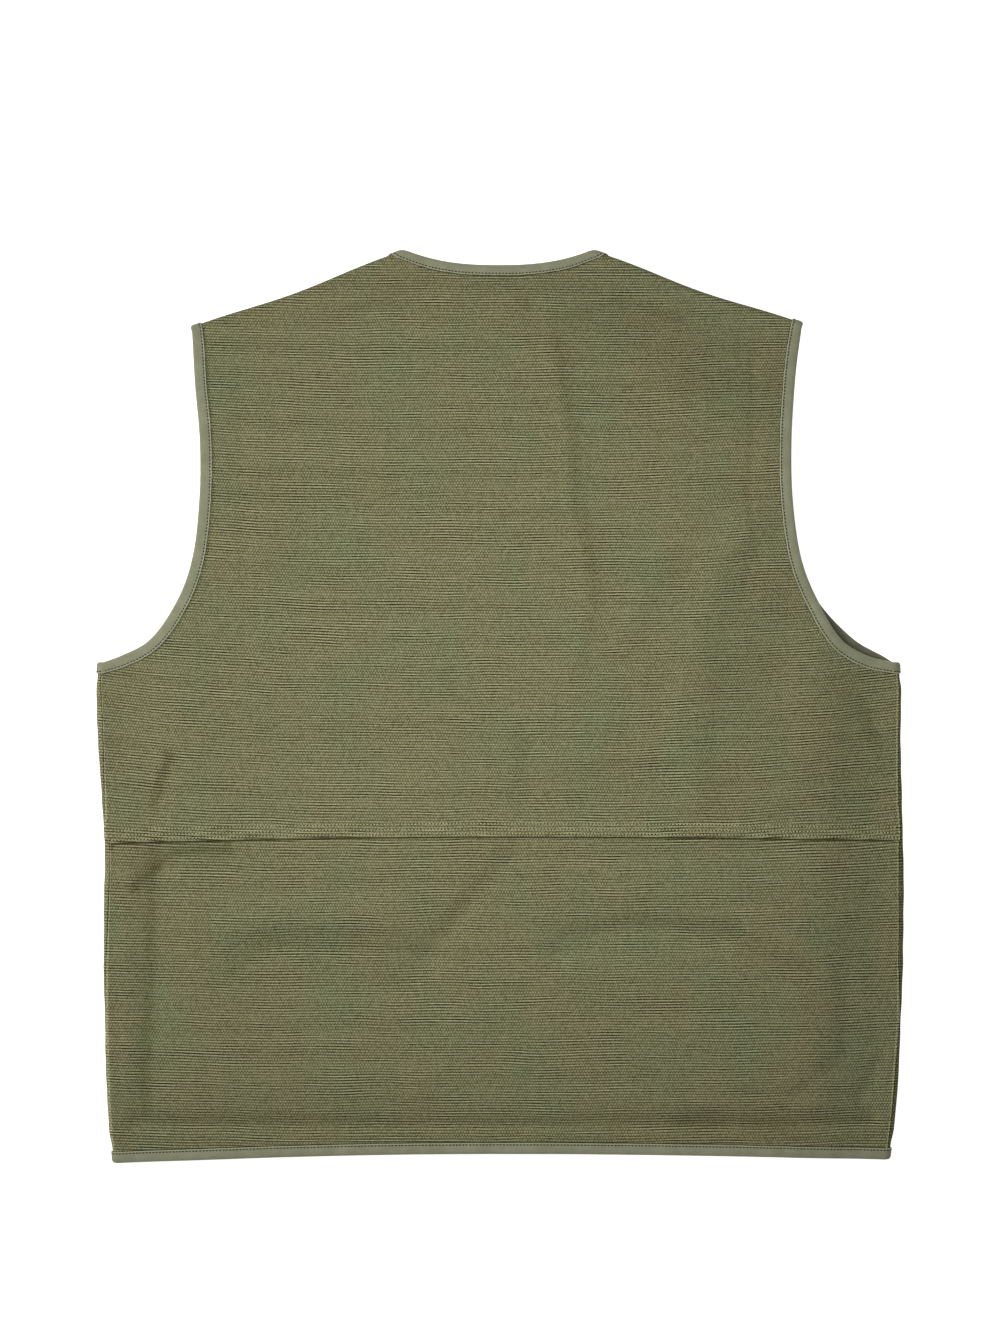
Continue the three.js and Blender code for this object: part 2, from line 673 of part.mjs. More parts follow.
function toSolid(geometry) {
  const bare = new THREE.BufferGeometry().setAttribute("position", geometry.attributes.position);
  const merged = mergeVertices(geometry.index ? bare.setIndex(geometry.index) : bare, 1e-4);
  return new wasm.Manifold(
    new wasm.Mesh({
      numProp: 3,
      vertProperties: merged.attributes.position.array,
      triVerts: new Uint32Array(merged.index.array),
    }),
  );
}

function fromSolid(solid) {
  const mesh = solid.getMesh();
  const geometry = new THREE.BufferGeometry();
  geometry.setAttribute("position", new THREE.BufferAttribute(new Float32Array(mesh.vertProperties), 3));
  geometry.setIndex(new THREE.BufferAttribute(new Uint32Array(mesh.triVerts), 1));
  geometry.computeVertexNormals();
  return geometry;
}

function block(width, length, thickness, x, y, z) {
  return toSolid(new THREE.BoxGeometry(width, length, thickness).translate(x, y, z));
}

// The zip, plain: its tape inside the fronts, the closed chain between them, and the slider with its pull.
function zip() {
  const tapeZ = FRONT_Z + CLOTH / 2 + SEWN_GAP + ZIP_TAPE / 2;
  const topZ = tapeZ + ZIP_TAPE / 2;
  const foot = hemY(0) + REACH;
  const head = LENGTH / 2 - FRONT_NECK_DROP - REACH - ZIP_DROP;
  const [middle, length] = [(foot + head) / 2, head - foot];
  const sliderZ = topZ - CHAIN_DEPTH - SLIDER.thickness / 2 + ZIP_TAPE / 2;
  const sliderY = head - SLIDER.length;
  const tape = block(ZIP_TAPE_WIDTH, length, ZIP_TAPE, 0, middle, tapeZ);
  const chain = block(CHAIN_WIDTH, length, CHAIN_DEPTH, 0, middle, topZ - CHAIN_DEPTH / 2);
  const slider = block(SLIDER.width, SLIDER.length, SLIDER.thickness, 0, sliderY, sliderZ);
  const pullY = sliderY - PULL.length / 2;
  const pull = block(PULL.width, PULL.length, SLIDER.thickness, 0, pullY, sliderZ);
  return fromSolid(tape.add(chain).add(slider).add(pull));
}

const canvas = new THREE.MeshStandardMaterial({ color: "#74744f", roughness: 0.95, metalness: 0 });
const binding = new THREE.MeshStandardMaterial({ color: "#868869", roughness: 0.85, metalness: 0 });
const zipFinish = new THREE.MeshStandardMaterial({ color: "#5c5d43", roughness: 0.6, metalness: 0 });

const gilet = new THREE.Group();

function piece(name, geometry, material) {
  const mesh = new THREE.Mesh(geometry, material);
  mesh.name = name;
  gilet.add(mesh);
}

piece("back_upper", backUpperPanel(), canvas);
piece("back_lower", backLowerPanel(), canvas);
piece("front_left", frontPanel(-1), canvas);
piece("front_right", frontPanel(1), canvas);
piece("neck_binding", neckBinding(), binding);
piece("armhole_binding_left", armholeBinding(-1), binding);
piece("armhole_binding_right", armholeBinding(1), binding);
piece("hem_binding", hemBinding(), binding);
piece("front_zip", zip(), zipFinish);

export default gilet;
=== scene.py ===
# Looks of a canvas gilet that lies flat on its front. Sizes are millimetres, and become metres in the meshes.
# +Z is up, out of the back, +Y points to the neck and +X to the right as seen from above.
import math

import bmesh
import bpy
import numpy as np
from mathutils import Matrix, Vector


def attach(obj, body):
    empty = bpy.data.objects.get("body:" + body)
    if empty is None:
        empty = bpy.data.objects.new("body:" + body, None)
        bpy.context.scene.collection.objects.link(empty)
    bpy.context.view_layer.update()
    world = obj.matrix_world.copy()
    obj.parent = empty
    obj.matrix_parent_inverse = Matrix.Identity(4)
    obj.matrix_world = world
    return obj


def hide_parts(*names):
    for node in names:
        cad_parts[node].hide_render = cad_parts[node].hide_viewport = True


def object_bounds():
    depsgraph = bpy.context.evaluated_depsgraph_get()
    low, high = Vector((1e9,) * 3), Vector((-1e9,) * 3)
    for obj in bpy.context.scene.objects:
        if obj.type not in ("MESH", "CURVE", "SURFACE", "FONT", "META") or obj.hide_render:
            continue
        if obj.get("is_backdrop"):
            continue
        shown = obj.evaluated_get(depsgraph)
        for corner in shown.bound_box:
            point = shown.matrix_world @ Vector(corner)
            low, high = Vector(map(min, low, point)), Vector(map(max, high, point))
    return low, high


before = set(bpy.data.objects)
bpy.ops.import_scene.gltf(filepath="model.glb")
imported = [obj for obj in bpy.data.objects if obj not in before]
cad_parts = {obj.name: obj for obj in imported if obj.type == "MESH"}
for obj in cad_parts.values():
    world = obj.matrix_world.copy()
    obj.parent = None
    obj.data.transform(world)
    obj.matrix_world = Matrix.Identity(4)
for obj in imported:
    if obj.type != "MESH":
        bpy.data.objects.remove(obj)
CAD_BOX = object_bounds()

bl_info = {
    "name": "Canvas gilet",
    "version": (1, 0, 0),
    "blender": (4, 5, 0),
    "location": "3D View > Sidebar > Gilet",
    "description": "Makes a canvas gilet with taped edges, its stitches, zip and a plain studio",
    "category": "Object",
}

MM = 0.001

# Overall size, as it lies.
WIDTH = 622
LENGTH = 705

# Cloth and binding.
CLOTH = 1.2
TAPE = 0.9
TAPE_WIDTH = 8.8
SEWN_GAP = 0.35  # air between two layers that are sewn together
SEAM_GAP = 0.5  # between the edges of the back and the front, where they are sewn
NECK_TAPE, ARM_TAPE = 0.93, 1.04  # how wide the tape lies on the back's neck and armholes, as shares
EDGE_ROOM = 0.9  # air between the edge of the cloth and the fold of the tape
LAYER_ROOM = 4  # air between the bindings of the back and the front, where they fold

# Neck, shoulders and front opening.
NECK_WIDTH = 132.5
NECK_MIDDLE = -1
NECK_SKEW = 15  # how much wider the neck is on the front at each shoulder
NECK_SPREAD = 0.36  # how much the tape widens where the back's neck edge meets the fold aslant
BACK_NECK_DROP = 9.6
NECK_BOW = 2.5  # above 2, the neck is flatter in its middle
FRONT_NECK_DROP = 172
FRONT_NECK_BOW = 13
SHOULDER_SAG = 2.6
SHOULDER_SEAM_TURN = 2.1  # radians round the fold from the back to the seam

# Hem and the lapped seam across the back.
HEM_ARCH = 7.7
HEM_DROP = (8.7, 5.5)  # left, right
LAP_HEIGHT = 252.5
LAP_DROP = (6.1, 3.4)  # left, right
LAP_DEPTH = 13
LAP_RAMP = 16
LAP_EDGE_TURN = 0.75  # how far the edge of the lap turns down
LAP_NOTCH = (-301, -108)  # the small notch where the lap ends at the left side seam, darkened by painted shade
NOTCH_REACH = 3.2

# How much paler or darker cloth and tape are painted: above 0 paler, by painted light and by rubbing; below 0
# painted shade.
# Painted highlight with rubbing on the lap band and its folded edge; painted shade under the edge of the lap
# and in its notch.
LAP_BAND_LIGHT_AND_RUB, LAP_EDGE_HIGHLIGHT_AND_RUB, UNDER_LAP_SHADE, NOTCH_SHADE = 0.14, 0.2, -1.15, -0.9
SIDE_EDGE_HIGHLIGHT_AND_RUB = 1.2  # the folded edge of the back at the side seams, painted paler: a highlight, with rubbing
FRONT_EDGE_PAINTED_LIGHT = {"left": 0.42, "right": -0.6}  # painted light on the fronts' edges at the side seams: lighter on the left, painted shade on the right
CORNER_SHADE = -1.3  # painted shade on the cloth beside a binding
# On the tape: painted highlight with rubbing along its folded inner edge, rubbing at its outer fold, painted
# shade in the groove of its stitches and on the side of its inner edge against the cloth.
TAPE_EDGE_HIGHLIGHT_AND_RUB, TAPE_FOLD_RUB, GROOVE_SHADE, UNDER_TAPE_SHADE = 0.45, 0.12, -0.1, -0.9
INNER_SHADE = -0.4  # painted shade on the fronts' bindings, on the face that lies inside

# How the back stands above its folded edges.
LOFT = 8
LOFT_REACH = 78
HEM_SAG = 0.4
HEM_SAG_REACH = 90
FOLD_FADE = 15
FOLD_GAIN = 2.0  # the folds are drawn this much deeper than measured, to show as much under even light

# Zip.
CHAIN_WIDTH = 6
CHAIN_DEPTH = 2.9
CHAIN_ROOM = 1
ZIP_TAPE_WIDTH = 30
ZIP_TAPE = 0.7
ZIP_DROP = 3
SLIDER = (10, 13, 0.9)
PULL = (5, 24)
TOOTH_PITCH = 2.6
TOOTH_SIZE = (0.62, 0.42)  # shares of the chain's width and of the pitch
TOOTH_OUT = 0.17  # how far from the middle of the chain, as a share of its width
TOOTH_BEVEL, SLIDER_BEVEL = 0.25, 0.35

# Stitches.
BINDING_PITCH = 2.6
BINDING_ROW = 7.3  # from the edge of the binding to its row of stitches
LAP_PITCH = 2.65
LAP_ROWS = (2.1, 5.6, 9.7)  # from the edge of the lap up
SIDE_PITCH = 2.9
SIDE_ROW = 0.55  # how far round the turn to the side seam, as a share
BINDING_STITCH, LAP_STITCH, SIDE_STITCH = (0.48, 1.5), (0.38, 1.6), (0.24, 2.1)  # radius, length
LAP_STITCH_LIFT, SIDE_STITCH_LIFT = 0.12, 0.1  # of the middle of a stitch above the cloth
LAP_ROW_WANDER = 0.12
HOLE_RADIUS = 0.55

# Seeds of small waves and of uneven sewing.
DENT_SEED, PUCKER_SEED, SWELL_SEED = 5, 11, 17
NECK_SEED, ARM_SEED, HEM_SEED, SEAM_SEED = 21, 40, 61, 3

# Mesh steps.
WELD = 0.03  # points nearer than this are one
CELL = 3.0
TAPE_CELL = 0.75
TURN_STEPS = 14
SIDE_STEPS = (0, 0.2, 0.4, 0.6, 0.8, 0.93, 1.0)  # shares of the back's turn to the side seam
LAP_STEPS = (0.0, 0.35, 0.8, 1.5, 2.5, 3.6, 4.8, 6, 7.2, 8.4, 9.7, 11.2)  # from the edge of the lap up
UNDER_LAP_STEPS = (-2.4, -1.85, -1.68, -1.52, -1.35, 0.2, LAP_DEPTH)  # on the lower panel

# The sides from the hem up: heights as shares of LENGTH, distances from the middle as shares of WIDTH / 2.
SIDES = {
    "up": (0.0, 0.035, 0.069, 0.2, 0.266, 0.353, 0.441, 0.52, 0.548),
    "left": (0.962, 0.969, 0.974, 0.982, 0.982, 0.982, 0.994, 1.002, 1.0),
    "right": (0.97, 0.979, 0.986, 1.001, 1.004, 1.001, 0.997, 0.998, 0.995),
}

# How far in from the outline each side seam lies, in millimetres, by heights in the same shares.
SEAM_INSETS = {
    "left": (
        (0.0, 0.4), (0.162, 0.5), (0.222, 1.4), (0.288, 3.0), (0.335, 4.2), (0.35, 4.0), (0.355, 1.2),
        (0.4, 1.6), (0.441, 3.0), (0.49, 3.8), (0.548, 3.0),
    ),
    "right": (
        (0.0, 2.6), (0.02, 2.6), (0.113, 1.7), (0.162, 0.7), (0.222, 3.0), (0.288, 3.2), (0.353, 2.2),
        (0.441, 1.6), (0.49, 1.5), (0.548, 1.5),
    ),
}
SIDE_SWELL = 1.25  # how far the cloth stands out at the sides, between the bindings
SWELL_FADE = 14
SIDE_LIP = 0.25  # how far the back's folded edge stands off the front's

# The bound edge of the armholes, from just above the underarm up, in the same shares.
UNDERARM_UP = 0.548
ARMHOLES = {
    "up": (0.5547, 0.572, 0.616, 0.66, 0.7254, 0.791, 0.8567),
    "back_left": (0.94, 0.867, 0.796, 0.76, 0.742, 0.741, 0.755),
    "back_right": (0.914, 0.848, 0.787, 0.747, 0.725, 0.722, 0.732),
    "front_left": (0.923, 0.854, 0.784, 0.751, 0.73, 0.729, 0.742),
    "front_right": (0.953, 0.884, 0.79, 0.743, 0.717, 0.714, 0.727),
}

# The tip of each shoulder, where its fold meets the armhole: how far out and how far up, as shares.
SHOULDER_TIPS = {"left": (0.7625, 0.9086), "right": (0.749, 0.9129)}

# Folds, dents and pressed lines of the back: points along each, how wide it is and how high.
FOLDS_OF_CLOTH = (
    (((39, 278), (51, 236), (55, 182), (62, 128), (68, 59), (55, 32)), 9, 0.4),
    (((186, 138), (155, 51), (147, -26), (150, -70)), 15, 1.1),
    (((124, 113), (93, 51)), 12, 0.7),
    (((-200, 259), (-196, 97), (-246, 36)), 3.5, -0.3),
    (((197, 274), (193, 159), (201, 113)), 3.5, -0.35),
    (((-219, 259), (-154, 259)), 6, -0.35),
    (((-30, 294), (31, 294)), 5, -0.35),
    (((47, 299), (78, 305)), 6, -0.4),
    (((147, 259), (193, 259)), 6, -0.4),
    (((12, 332), (23, 313)), 6, -0.5),
    (((-100, 47), (-77, 47)), 7, -0.3),
    (((-208, -8), (-162, -14)), 8, -0.5),
    (((23, -30), (20, -72), (-30, -72)), 3.5, -0.3),
    (((23, -30), (101, -22)), 3.5, -0.3),
    (((62, -50), (62, -64)), 5, -0.25),
    (((101, 12), (100, -42)), 5, -0.3),
    (((240, 90), (205, 15)), 26, -1.5),
    (((16, -103), (-15, -142), (-54, -196), (-77, -219)), 9, -0.6),
    (((-200, -188), (-161, -179), (-77, -180), (-54, -196)), 11, -1.0),
    (((-200, -168), (-161, -160), (-77, -162)), 14, 0.9),
    (((47, -188), (93, -169), (185, -177), (232, -204)), 11, -1.0),
    (((93, -150), (185, -158), (225, -180)), 14, 0.9),
    (((296, -271), (278, -303)), 6, -0.8),
    (((262, -273), (224, -304)), 8, -0.6),
    (((266, -204), (267, -265)), 7, -0.45),
    (((-270, -108), (-272, -200), (-274, -300)), 7, -0.7),
    (((-289, -120), (-290, -290)), 8, 0.8),
    (((-250, -45), (-270, -80)), 6, -0.9),
    (((-293, -28), (-287, -34)), 6, -0.7),
    (((-262, -111), (-274, -134)), 7, -0.8),
    (((-285, -319), (175, -319)), 7, -0.7),
    (((150, -319), (285, -318)), 8, -1.1),
    (((-280, -330), (280, -330)), 5, 0.35),
    (((272, 10), (290, -20)), 6, -0.5),
    (((268, -25), (284, -42)), 5, -0.45),
    (((-280, 20), (-262, 2)), 6, -0.5),
)

# Painted shade along the bottoms of folds, where they crease: points, how wide each is and how dark.
SHADED_FOLDS = (
    (((-254, -38), (-266, -76)), 4, -0.5),
    (((-208, -109), (-250, -112), (-266, -126), (-282, -140)), 4.5, -0.5),
    (((-266, -111), (-269, -173), (-273, -311)), 5.5, -0.42),
    (((43, 282), (54, 228), (58, 166), (74, 97), (70, 59)), 4.5, -0.28),
    (((-131, 298), (-69, 321)), 5, -0.18),
    (((47, 298), (93, 313), (139, 298)), 5, -0.2),
    (((150, 250), (200, 235)), 22, -0.12),
    (((209, 136), (178, 113), (147, 35), (139, -34)), 5, -0.1),
    (((-208, -204), (-177, -180), (-61, -184), (-15, -134), (8, -111)), 6, -0.22),
    (((47, -173), (108, -165), (178, -173), (239, -204)), 6, -0.22),
    (((-285, -319), (285, -319)), 4, -0.36),
    (((140, -321), (225, -325)), 6, -0.2),
    (((278, 5), (293, -34)), 5, -0.3),
    (((16, -26), (16, -72)), 8, -0.12),
    (((62, -57), (77, -42), (139, -42)), 4, -0.12),
    (((-163, 160), (-163, 113)), 9, -0.08),
)

# Sizes that follow from those above.
HALF = WIDTH / 2
BOTTOM = -LENGTH / 2
TAPE_OUT = CLOTH / 2 + SEWN_GAP + TAPE
TRIM = TAPE + EDGE_ROOM
REACH = TAPE_WIDTH + EDGE_ROOM
FRONT_Z = TAPE_OUT
TURN_RADIUS = (2 * TAPE_OUT + LAYER_ROOM) / 2
BACK_Z = FRONT_Z + 2 * TURN_RADIUS
OUTER_RADIUS = TURN_RADIUS + TAPE_OUT
SEAM_TURN_GAP = SEAM_GAP / (TURN_RADIUS - CLOTH / 2)
FRONT_EDGE = CHAIN_WIDTH / 2 + CHAIN_ROOM
END_BLEND = 14  # over this run the way into the cloth turns to the line of the fold


def clamp(t):
    return np.clip(t, 0, 1)


def ease(t):
    t = clamp(t)
    return t * t * t * (t * (6 * t - 15) + 10)


def lerp(a, b, t):
    return a + (b - a) * t


def height_at(up):
    return BOTTOM + up * LENGTH


def vec(*values):
    return np.array(values, float)


def pair(x, y):
    """Plan points from two arrays."""
    return np.stack(np.broadcast_arrays(np.asarray(x, float), np.asarray(y, float)), axis=-1)


def hermite(a, b, slope_a, slope_b, t):
    """A smooth way from a to b, with a slope at each end."""
    return (
        (2 * t**3 - 3 * t**2 + 1) * a
        + (t**3 - 2 * t**2 + t) * slope_a
        + (3 * t**2 - 2 * t**3) * b
        + (t**3 - t**2) * slope_b
    )


def column(table, name):
    """A smooth function of height through one column of a table."""
    ups, values = table["up"], table[name]
    last = len(ups) - 1
    dense = np.linspace(ups[0], ups[-1], 1501)
    found = []
    for up in dense:
        i = min(next((k for k in range(last) if up <= ups[k + 1]), last - 1), last - 1)
        before, after = max(i - 1, 0), min(i + 2, last)
        step = ups[i + 1] - ups[i]
        t = (up - ups[i]) / step
        a, b = values[i], values[i + 1]
        slope_a = (b - values[before]) / (ups[i + 1] - ups[before]) * step
        slope_b = (values[after] - a) / (ups[after] - ups[i]) * step
        found.append(hermite(a, b, slope_a, slope_b, t))
    return lambda up: np.interp(up, dense, found)


class Fold:
    """A folded edge, where the back turns round to the front. w runs down a side, and from the neck out
    along a shoulder."""

    def __init__(self, start, axis, out, offset, length=0.0):
        self.start, self.axis, self.out = start, axis, out
        self.offset, self.length = offset, length

    def along(self, w):
        w = np.asarray(w, float)[..., None]
        return self.start + self.axis * w + self.out * self.offset(w)

    def beyond(self, x, y):
        """How far out a point of the plan lies."""
        dx, dy = x - self.start[0], y - self.start[1]
        w = dx * self.axis[0] + dy * self.axis[1]
        return dx * self.out[0] + dy * self.out[1] - self.offset(w)

    def at(self, w, turn, lift=0.0):
        """A point of the cloth at a turn round the fold, lift outside the middle of the cloth."""
        w, turn, lift = np.broadcast_arrays(*(np.asarray(v, float) for v in (w, turn, lift)))
        radius = TURN_RADIUS + lift
        plan = self.along(w) + self.out * (radius * np.sin(turn))[..., None]
        z = FRONT_Z + TURN_RADIUS + radius * np.cos(turn)
        return np.concatenate([plan, z[..., None]], axis=-1)


def side_name(side):
    return "left" if side < 0 else "right"


def side_fold(side):
    share = column(SIDES, side_name(side))
    return Fold(
        vec(0, 0),
        vec(0, -1),
        vec(side, 0),
        lambda w: share((-w - BOTTOM) / LENGTH) * HALF - OUTER_RADIUS,
    )


def neck_shift(turn):
    """How far out the neck edge lies at a turn round the shoulder fold."""
    return NECK_SKEW * turn / math.pi


def neck_spread(turn):
    """How much the neck's tape widens at a turn round the shoulder fold."""
    return 1 + NECK_SPREAD * np.maximum(np.cos(turn), 0)


def tip_point(side):
    out, up = SHOULDER_TIPS[side_name(side)]
    return vec(side * out * HALF, height_at(up))


def neck_point(side):
    x = NECK_MIDDLE + side * NECK_WIDTH / 2
    tip = tip_point(side)
    slope = math.atan2(LENGTH / 2 - OUTER_RADIUS - tip[1], abs(tip[0] - x))
    corner = OUTER_RADIUS * math.cos(slope) - neck_shift(math.pi / 2) * math.sin(slope)
    return vec(x, LENGTH / 2 - corner)


def shoulder_fold(side):
    neck = neck_point(side)
    axis = tip_point(side) - neck
    length = math.hypot(*axis)
    axis = axis / length
    start, end = NECK_SKEW + REACH, length - REACH

    def offset(w):
        return -SHOULDER_SAG * np.sin(math.pi * clamp((w - start) / (end - start))) ** 2

    return Fold(neck, axis, vec(-axis[1] * side, axis[0] * side), offset, length)


SIDE = {side: side_fold(side) for side in (-1, 1)}
SHOULDER = {side: shoulder_fold(side) for side in (-1, 1)}


def dropped(x, drop):
    return np.where(x < 0, drop[0], drop[1]) * (x / HALF) ** 2


def hem_y(x):
    return BOTTOM + HEM_ARCH - dropped(x, HEM_DROP)


def lap_y(x):
    return BOTTOM + LAP_HEIGHT - dropped(x, LAP_DROP)


def creases(folds, x, y):
    """What a table of folds adds at points of the plan: heights, or painted shade."""
    total = 0.0
    for points, reach, height in folds:
        nearest = np.full(np.shape(x), np.inf)
        for (ax, ay), (bx, by) in zip(points, points[1:]):
            dx, dy = bx - ax, by - ay
            t = clamp(((x - ax) * dx + (y - ay) * dy) / (dx * dx + dy * dy))
            nearest = np.minimum(nearest, np.hypot(x - ax - t * dx, y - ay - t * dy))
        total = total + height * np.exp(-((nearest / reach) ** 2))
    return total


def waves(x, y, seed, lengths, heights):
    """Small uneven waves: a sum of sines in fixed directions."""
    rng = np.random.default_rng(seed)
    total = 0.0
    for length, height in zip(lengths, heights):
        for _ in range(3):
            turn, phase = rng.uniform(0, math.pi), rng.uniform(0, 2 * math.pi)
            stretch = rng.uniform(0.8, 1.25)
            k = 2 * math.pi / (length * stretch)
            total = total + height * np.sin(k * (x * math.cos(turn) + y * math.sin(turn)) + phase) / 3
    return total


def back_height(x, y):
    """Height of the middle of the back's cloth over a point of the plan."""
    loft = LOFT * (1 - HEM_SAG * (1 - ease((y - hem_y(x)) / HEM_SAG_REACH)))
    fade = 1.0
    for side in (-1, 1):
        for fold in (SIDE[side], SHOULDER[side]):
            inside = -fold.beyond(x, y)
            loft = loft * ease(inside / LOFT_REACH)
            fade = fade * ease(inside / FOLD_FADE)
    dents = FOLD_GAIN * creases(FOLDS_OF_CLOTH, x, y)
    dents = dents + waves(x, y, DENT_SEED, (46, 27, 15), (0.3, 0.16, 0.06))
    return BACK_Z + loft + dents * fade


def front_height(x, y):
    return np.full(np.shape(x), FRONT_Z)


def lap_rise(x, y):
    return (CLOTH + SEWN_GAP) * (1 - ease((y - lap_y(x) - LAP_DEPTH) / LAP_RAMP))


def lap_pucker(x, y):
    """The lapped seam draws up into small waves between its stitch rows, and its edge turns down."""
    above = y - lap_y(x)
    band = ease(above / 3) * (1 - ease((above - LAP_DEPTH + 2) / 5))
    bumps = waves(x, y * 1.6, PUCKER_SEED, (17, 9, 6), (0.34, 0.34, 0.2))
    turned = LAP_EDGE_TURN * (1 - clamp(above)) ** 2
    return bumps * band - turned


def lap_painted_light_and_wear(x, y):
    """The lapped seam is painted paler, a highlight on its raised band and most of all on its folded edge,
    with rubbing. Painted shade lies along the creases of folds over the upper back.
    """
    above = y - lap_y(x)
    band = 1 - ease((above - LAP_DEPTH + 2) / 3)
    edge = 1 - clamp(above / 1.6)
    return LAP_BAND_LIGHT_AND_RUB * band + LAP_EDGE_HIGHLIGHT_AND_RUB * edge + creases(SHADED_FOLDS, x, y)


def lap_shade(x, y):
    """Painted shade on the lower panel: in the corner under the edge of the lapped seam, in the notch at the
    left side seam, and along the creases of folds.
    """
    corner = 1 - ease((lap_y(x) - y - 1.35) / 0.5)
    notch = np.exp(-(((x - LAP_NOTCH[0]) / NOTCH_REACH) ** 2) - ((y - LAP_NOTCH[1]) / NOTCH_REACH) ** 2)
    return UNDER_LAP_SHADE * corner + NOTCH_SHADE * notch + creases(SHADED_FOLDS, x, y)


def upper_height(x, y):
    return back_height(x, y) + lap_rise(x, y) + lap_pucker(x, y)


def curve_through(points, count):
    """Points at even distances along a smooth curve through a chain of points."""
    ends = [2 * points[0] - points[1], *points, 2 * points[-1] - points[-2]]
    dense = []
    for i in range(len(points) - 1):
        p0, p1, p2, p3 = ends[i : i + 4]
        d0, d1, d2 = (math.sqrt(math.dist(a, b)) for a, b in ((p0, p1), (p1, p2), (p2, p3)))
        slope1 = ((p1 - p0) / d0 - (p2 - p0) / (d0 + d1) + (p2 - p1) / d1) * d1
        slope2 = ((p2 - p1) / d1 - (p3 - p1) / (d1 + d2) + (p3 - p2) / d2) * d1
        t = np.linspace(0, 1, 60, endpoint=False)[:, None]
        dense.append(hermite(p1, p2, slope1, slope2, t))
    return evenly(np.concatenate([*dense, points[-1][None]]), count)


def run_along(points):
    """The distance along a chain at each of its points."""
    steps = np.linalg.norm(np.diff(points, axis=0), axis=1)
    return np.concatenate([[0], np.cumsum(steps)])


def point_at(wanted, run, points):
    """Points of a chain at the wanted distances along it."""
    return np.stack([np.interp(wanted, run, each) for each in points.T], axis=-1)


def evenly(points, count):
    run = run_along(points)
    return point_at(np.linspace(0, run[-1], count + 1), run, points)


def shares(points):
    run = run_along(points)
    return run / run[-1]


class Edge:
    """A bound edge: its points, the way into the cloth at each, and the folds that it follows at its ends."""

    def __init__(self, points, way, first, last):
        self.points, self.first, self.last = points, first, last
        self.run = run_along(points)
        along = np.gradient(points, axis=0)
        along /= np.hypot(*along.T)[:, None]
        self.inward = np.stack([-along[:, 1] * way, along[:, 0] * way], axis=-1)
        for end, distance in ((first, self.run), (last, self.run[-1] - self.run)):
            fold, _, rate = end
            share = (1 - ease(distance / END_BLEND))[:, None]
            self.inward = lerp(self.inward, fold.axis * rate, share)

    def at(self, distances):
        """Plan points at distances into the cloth, one row for each station."""
        distances = np.asarray(distances, float)
        found = self.points[:, None, :] + self.inward[:, None, :] * distances[..., None]
        each = np.broadcast_to(distances, found.shape[:2])
        for row, (fold, w, rate) in ((0, self.first), (-1, self.last)):
            found[row] = fold.along(w + rate * each[row])
        return found


class StraightFold:
    """Stands for a fold at the end of an edge that meets none, such as the zip."""

    def __init__(self, start, axis):
        self.start, self.axis = start, axis

    def along(self, w):
        return self.start + self.axis * np.asarray(w, float)[..., None]


def armhole_edge(layer, side, cell):
    name = f"{layer}_{side_name(side)}"
    low = height_at(UNDERARM_UP)
    shoulder = SHOULDER[side]
    rows = [vec(side * s * HALF, height_at(up)) for s, up in zip(ARMHOLES[name], ARMHOLES["up"])]
    chain = [SIDE[side].along(-low), *rows, tip_point(side)]
    count = steps_for(run_along(np.array(chain))[-1], cell)
    points = curve_through(chain, count)
    return Edge(points, side, (SIDE[side], -low, 1), (shoulder, shoulder.length, -1))


def back_neck_edge(count):
    left, right = neck_point(-1), neck_point(1)
    share = np.linspace(0, 1, count + 1)[:, None]
    points = lerp(left, right, share)
    points[:, 1] -= BACK_NECK_DROP * (1 - np.abs(2 * share[:, 0] - 1) ** NECK_BOW)
    ends = [(SHOULDER[side], 0, neck_spread(0)) for side in (-1, 1)]
    return Edge(points, -1, *ends)


def front_neck_edge(side, cell):
    shoulder = SHOULDER[side]
    shift = neck_shift(math.pi)
    top = shoulder.along(shift)
    foot = vec(side * FRONT_EDGE, LENGTH / 2 - FRONT_NECK_DROP)
    middle = (top + foot) / 2 + vec(side * FRONT_NECK_BOW, 0)
    count = steps_for(math.dist(top, foot), cell)
    points = curve_through([top, middle, foot], count)
    straight = StraightFold(foot, vec(0, -1))
    return Edge(points, side, (shoulder, shift, neck_spread(math.pi)), (straight, 0, 1))


def steps_for(length, cell):
    return max(int(round(length / cell)), 2)


def side_point(side, y):
    return SIDE[side].along(-np.asarray(y, float))


def meet_fold(side, curve, up=0.0):
    """Where a line up above a curve across the gilet meets the side fold."""
    point = side_point(side, 0.0)
    for _ in range(6):
        point = side_point(side, curve(point[0]) + up)
    return point


class HemEdge:
    """The bound edge of the hem between two ends, each a side fold or the edge of a front at the zip."""

    def __init__(self, spread, start, end):
        self.spread, self.start, self.end = spread, start, end
        self.run = run_along(self.at([0.0])[:, 0])

    def at(self, distances):
        columns = []
        for up in np.atleast_1d(distances):
            x = lerp(self.start(up), self.end(up), self.spread)
            columns.append(pair(x, hem_y(x) + up))
        return np.stack(columns, axis=1)


def at_fold(side):
    return lambda up: meet_fold(side, hem_y, up)[0]


def at_zip(side):
    return lambda up: side * FRONT_EDGE


# Weave. Across the cloth the ribs rise a little towards the armholes, as the cloth lies.
SMILE = 13.0


def cloth_at(x, y):
    """The place on the flat cloth that lies at a point of the plan."""
    far = np.abs(x) / HALF
    lift = SMILE * far**3 * (0.2 + 0.8 * ease((y + 190) / 200)) * (1 - 0.5 * ease((y - 200) / 120))
    return x, y - lift


def seam_turn(side, y):
    """How far round the side fold the seam lies."""
    ups, insets = zip(*SEAM_INSETS[side_name(side)])
    inset = np.interp((y - BOTTOM) / LENGTH, ups, insets)
    return np.arcsin(clamp(1 - inset / (TURN_RADIUS + CLOTH / 2)))


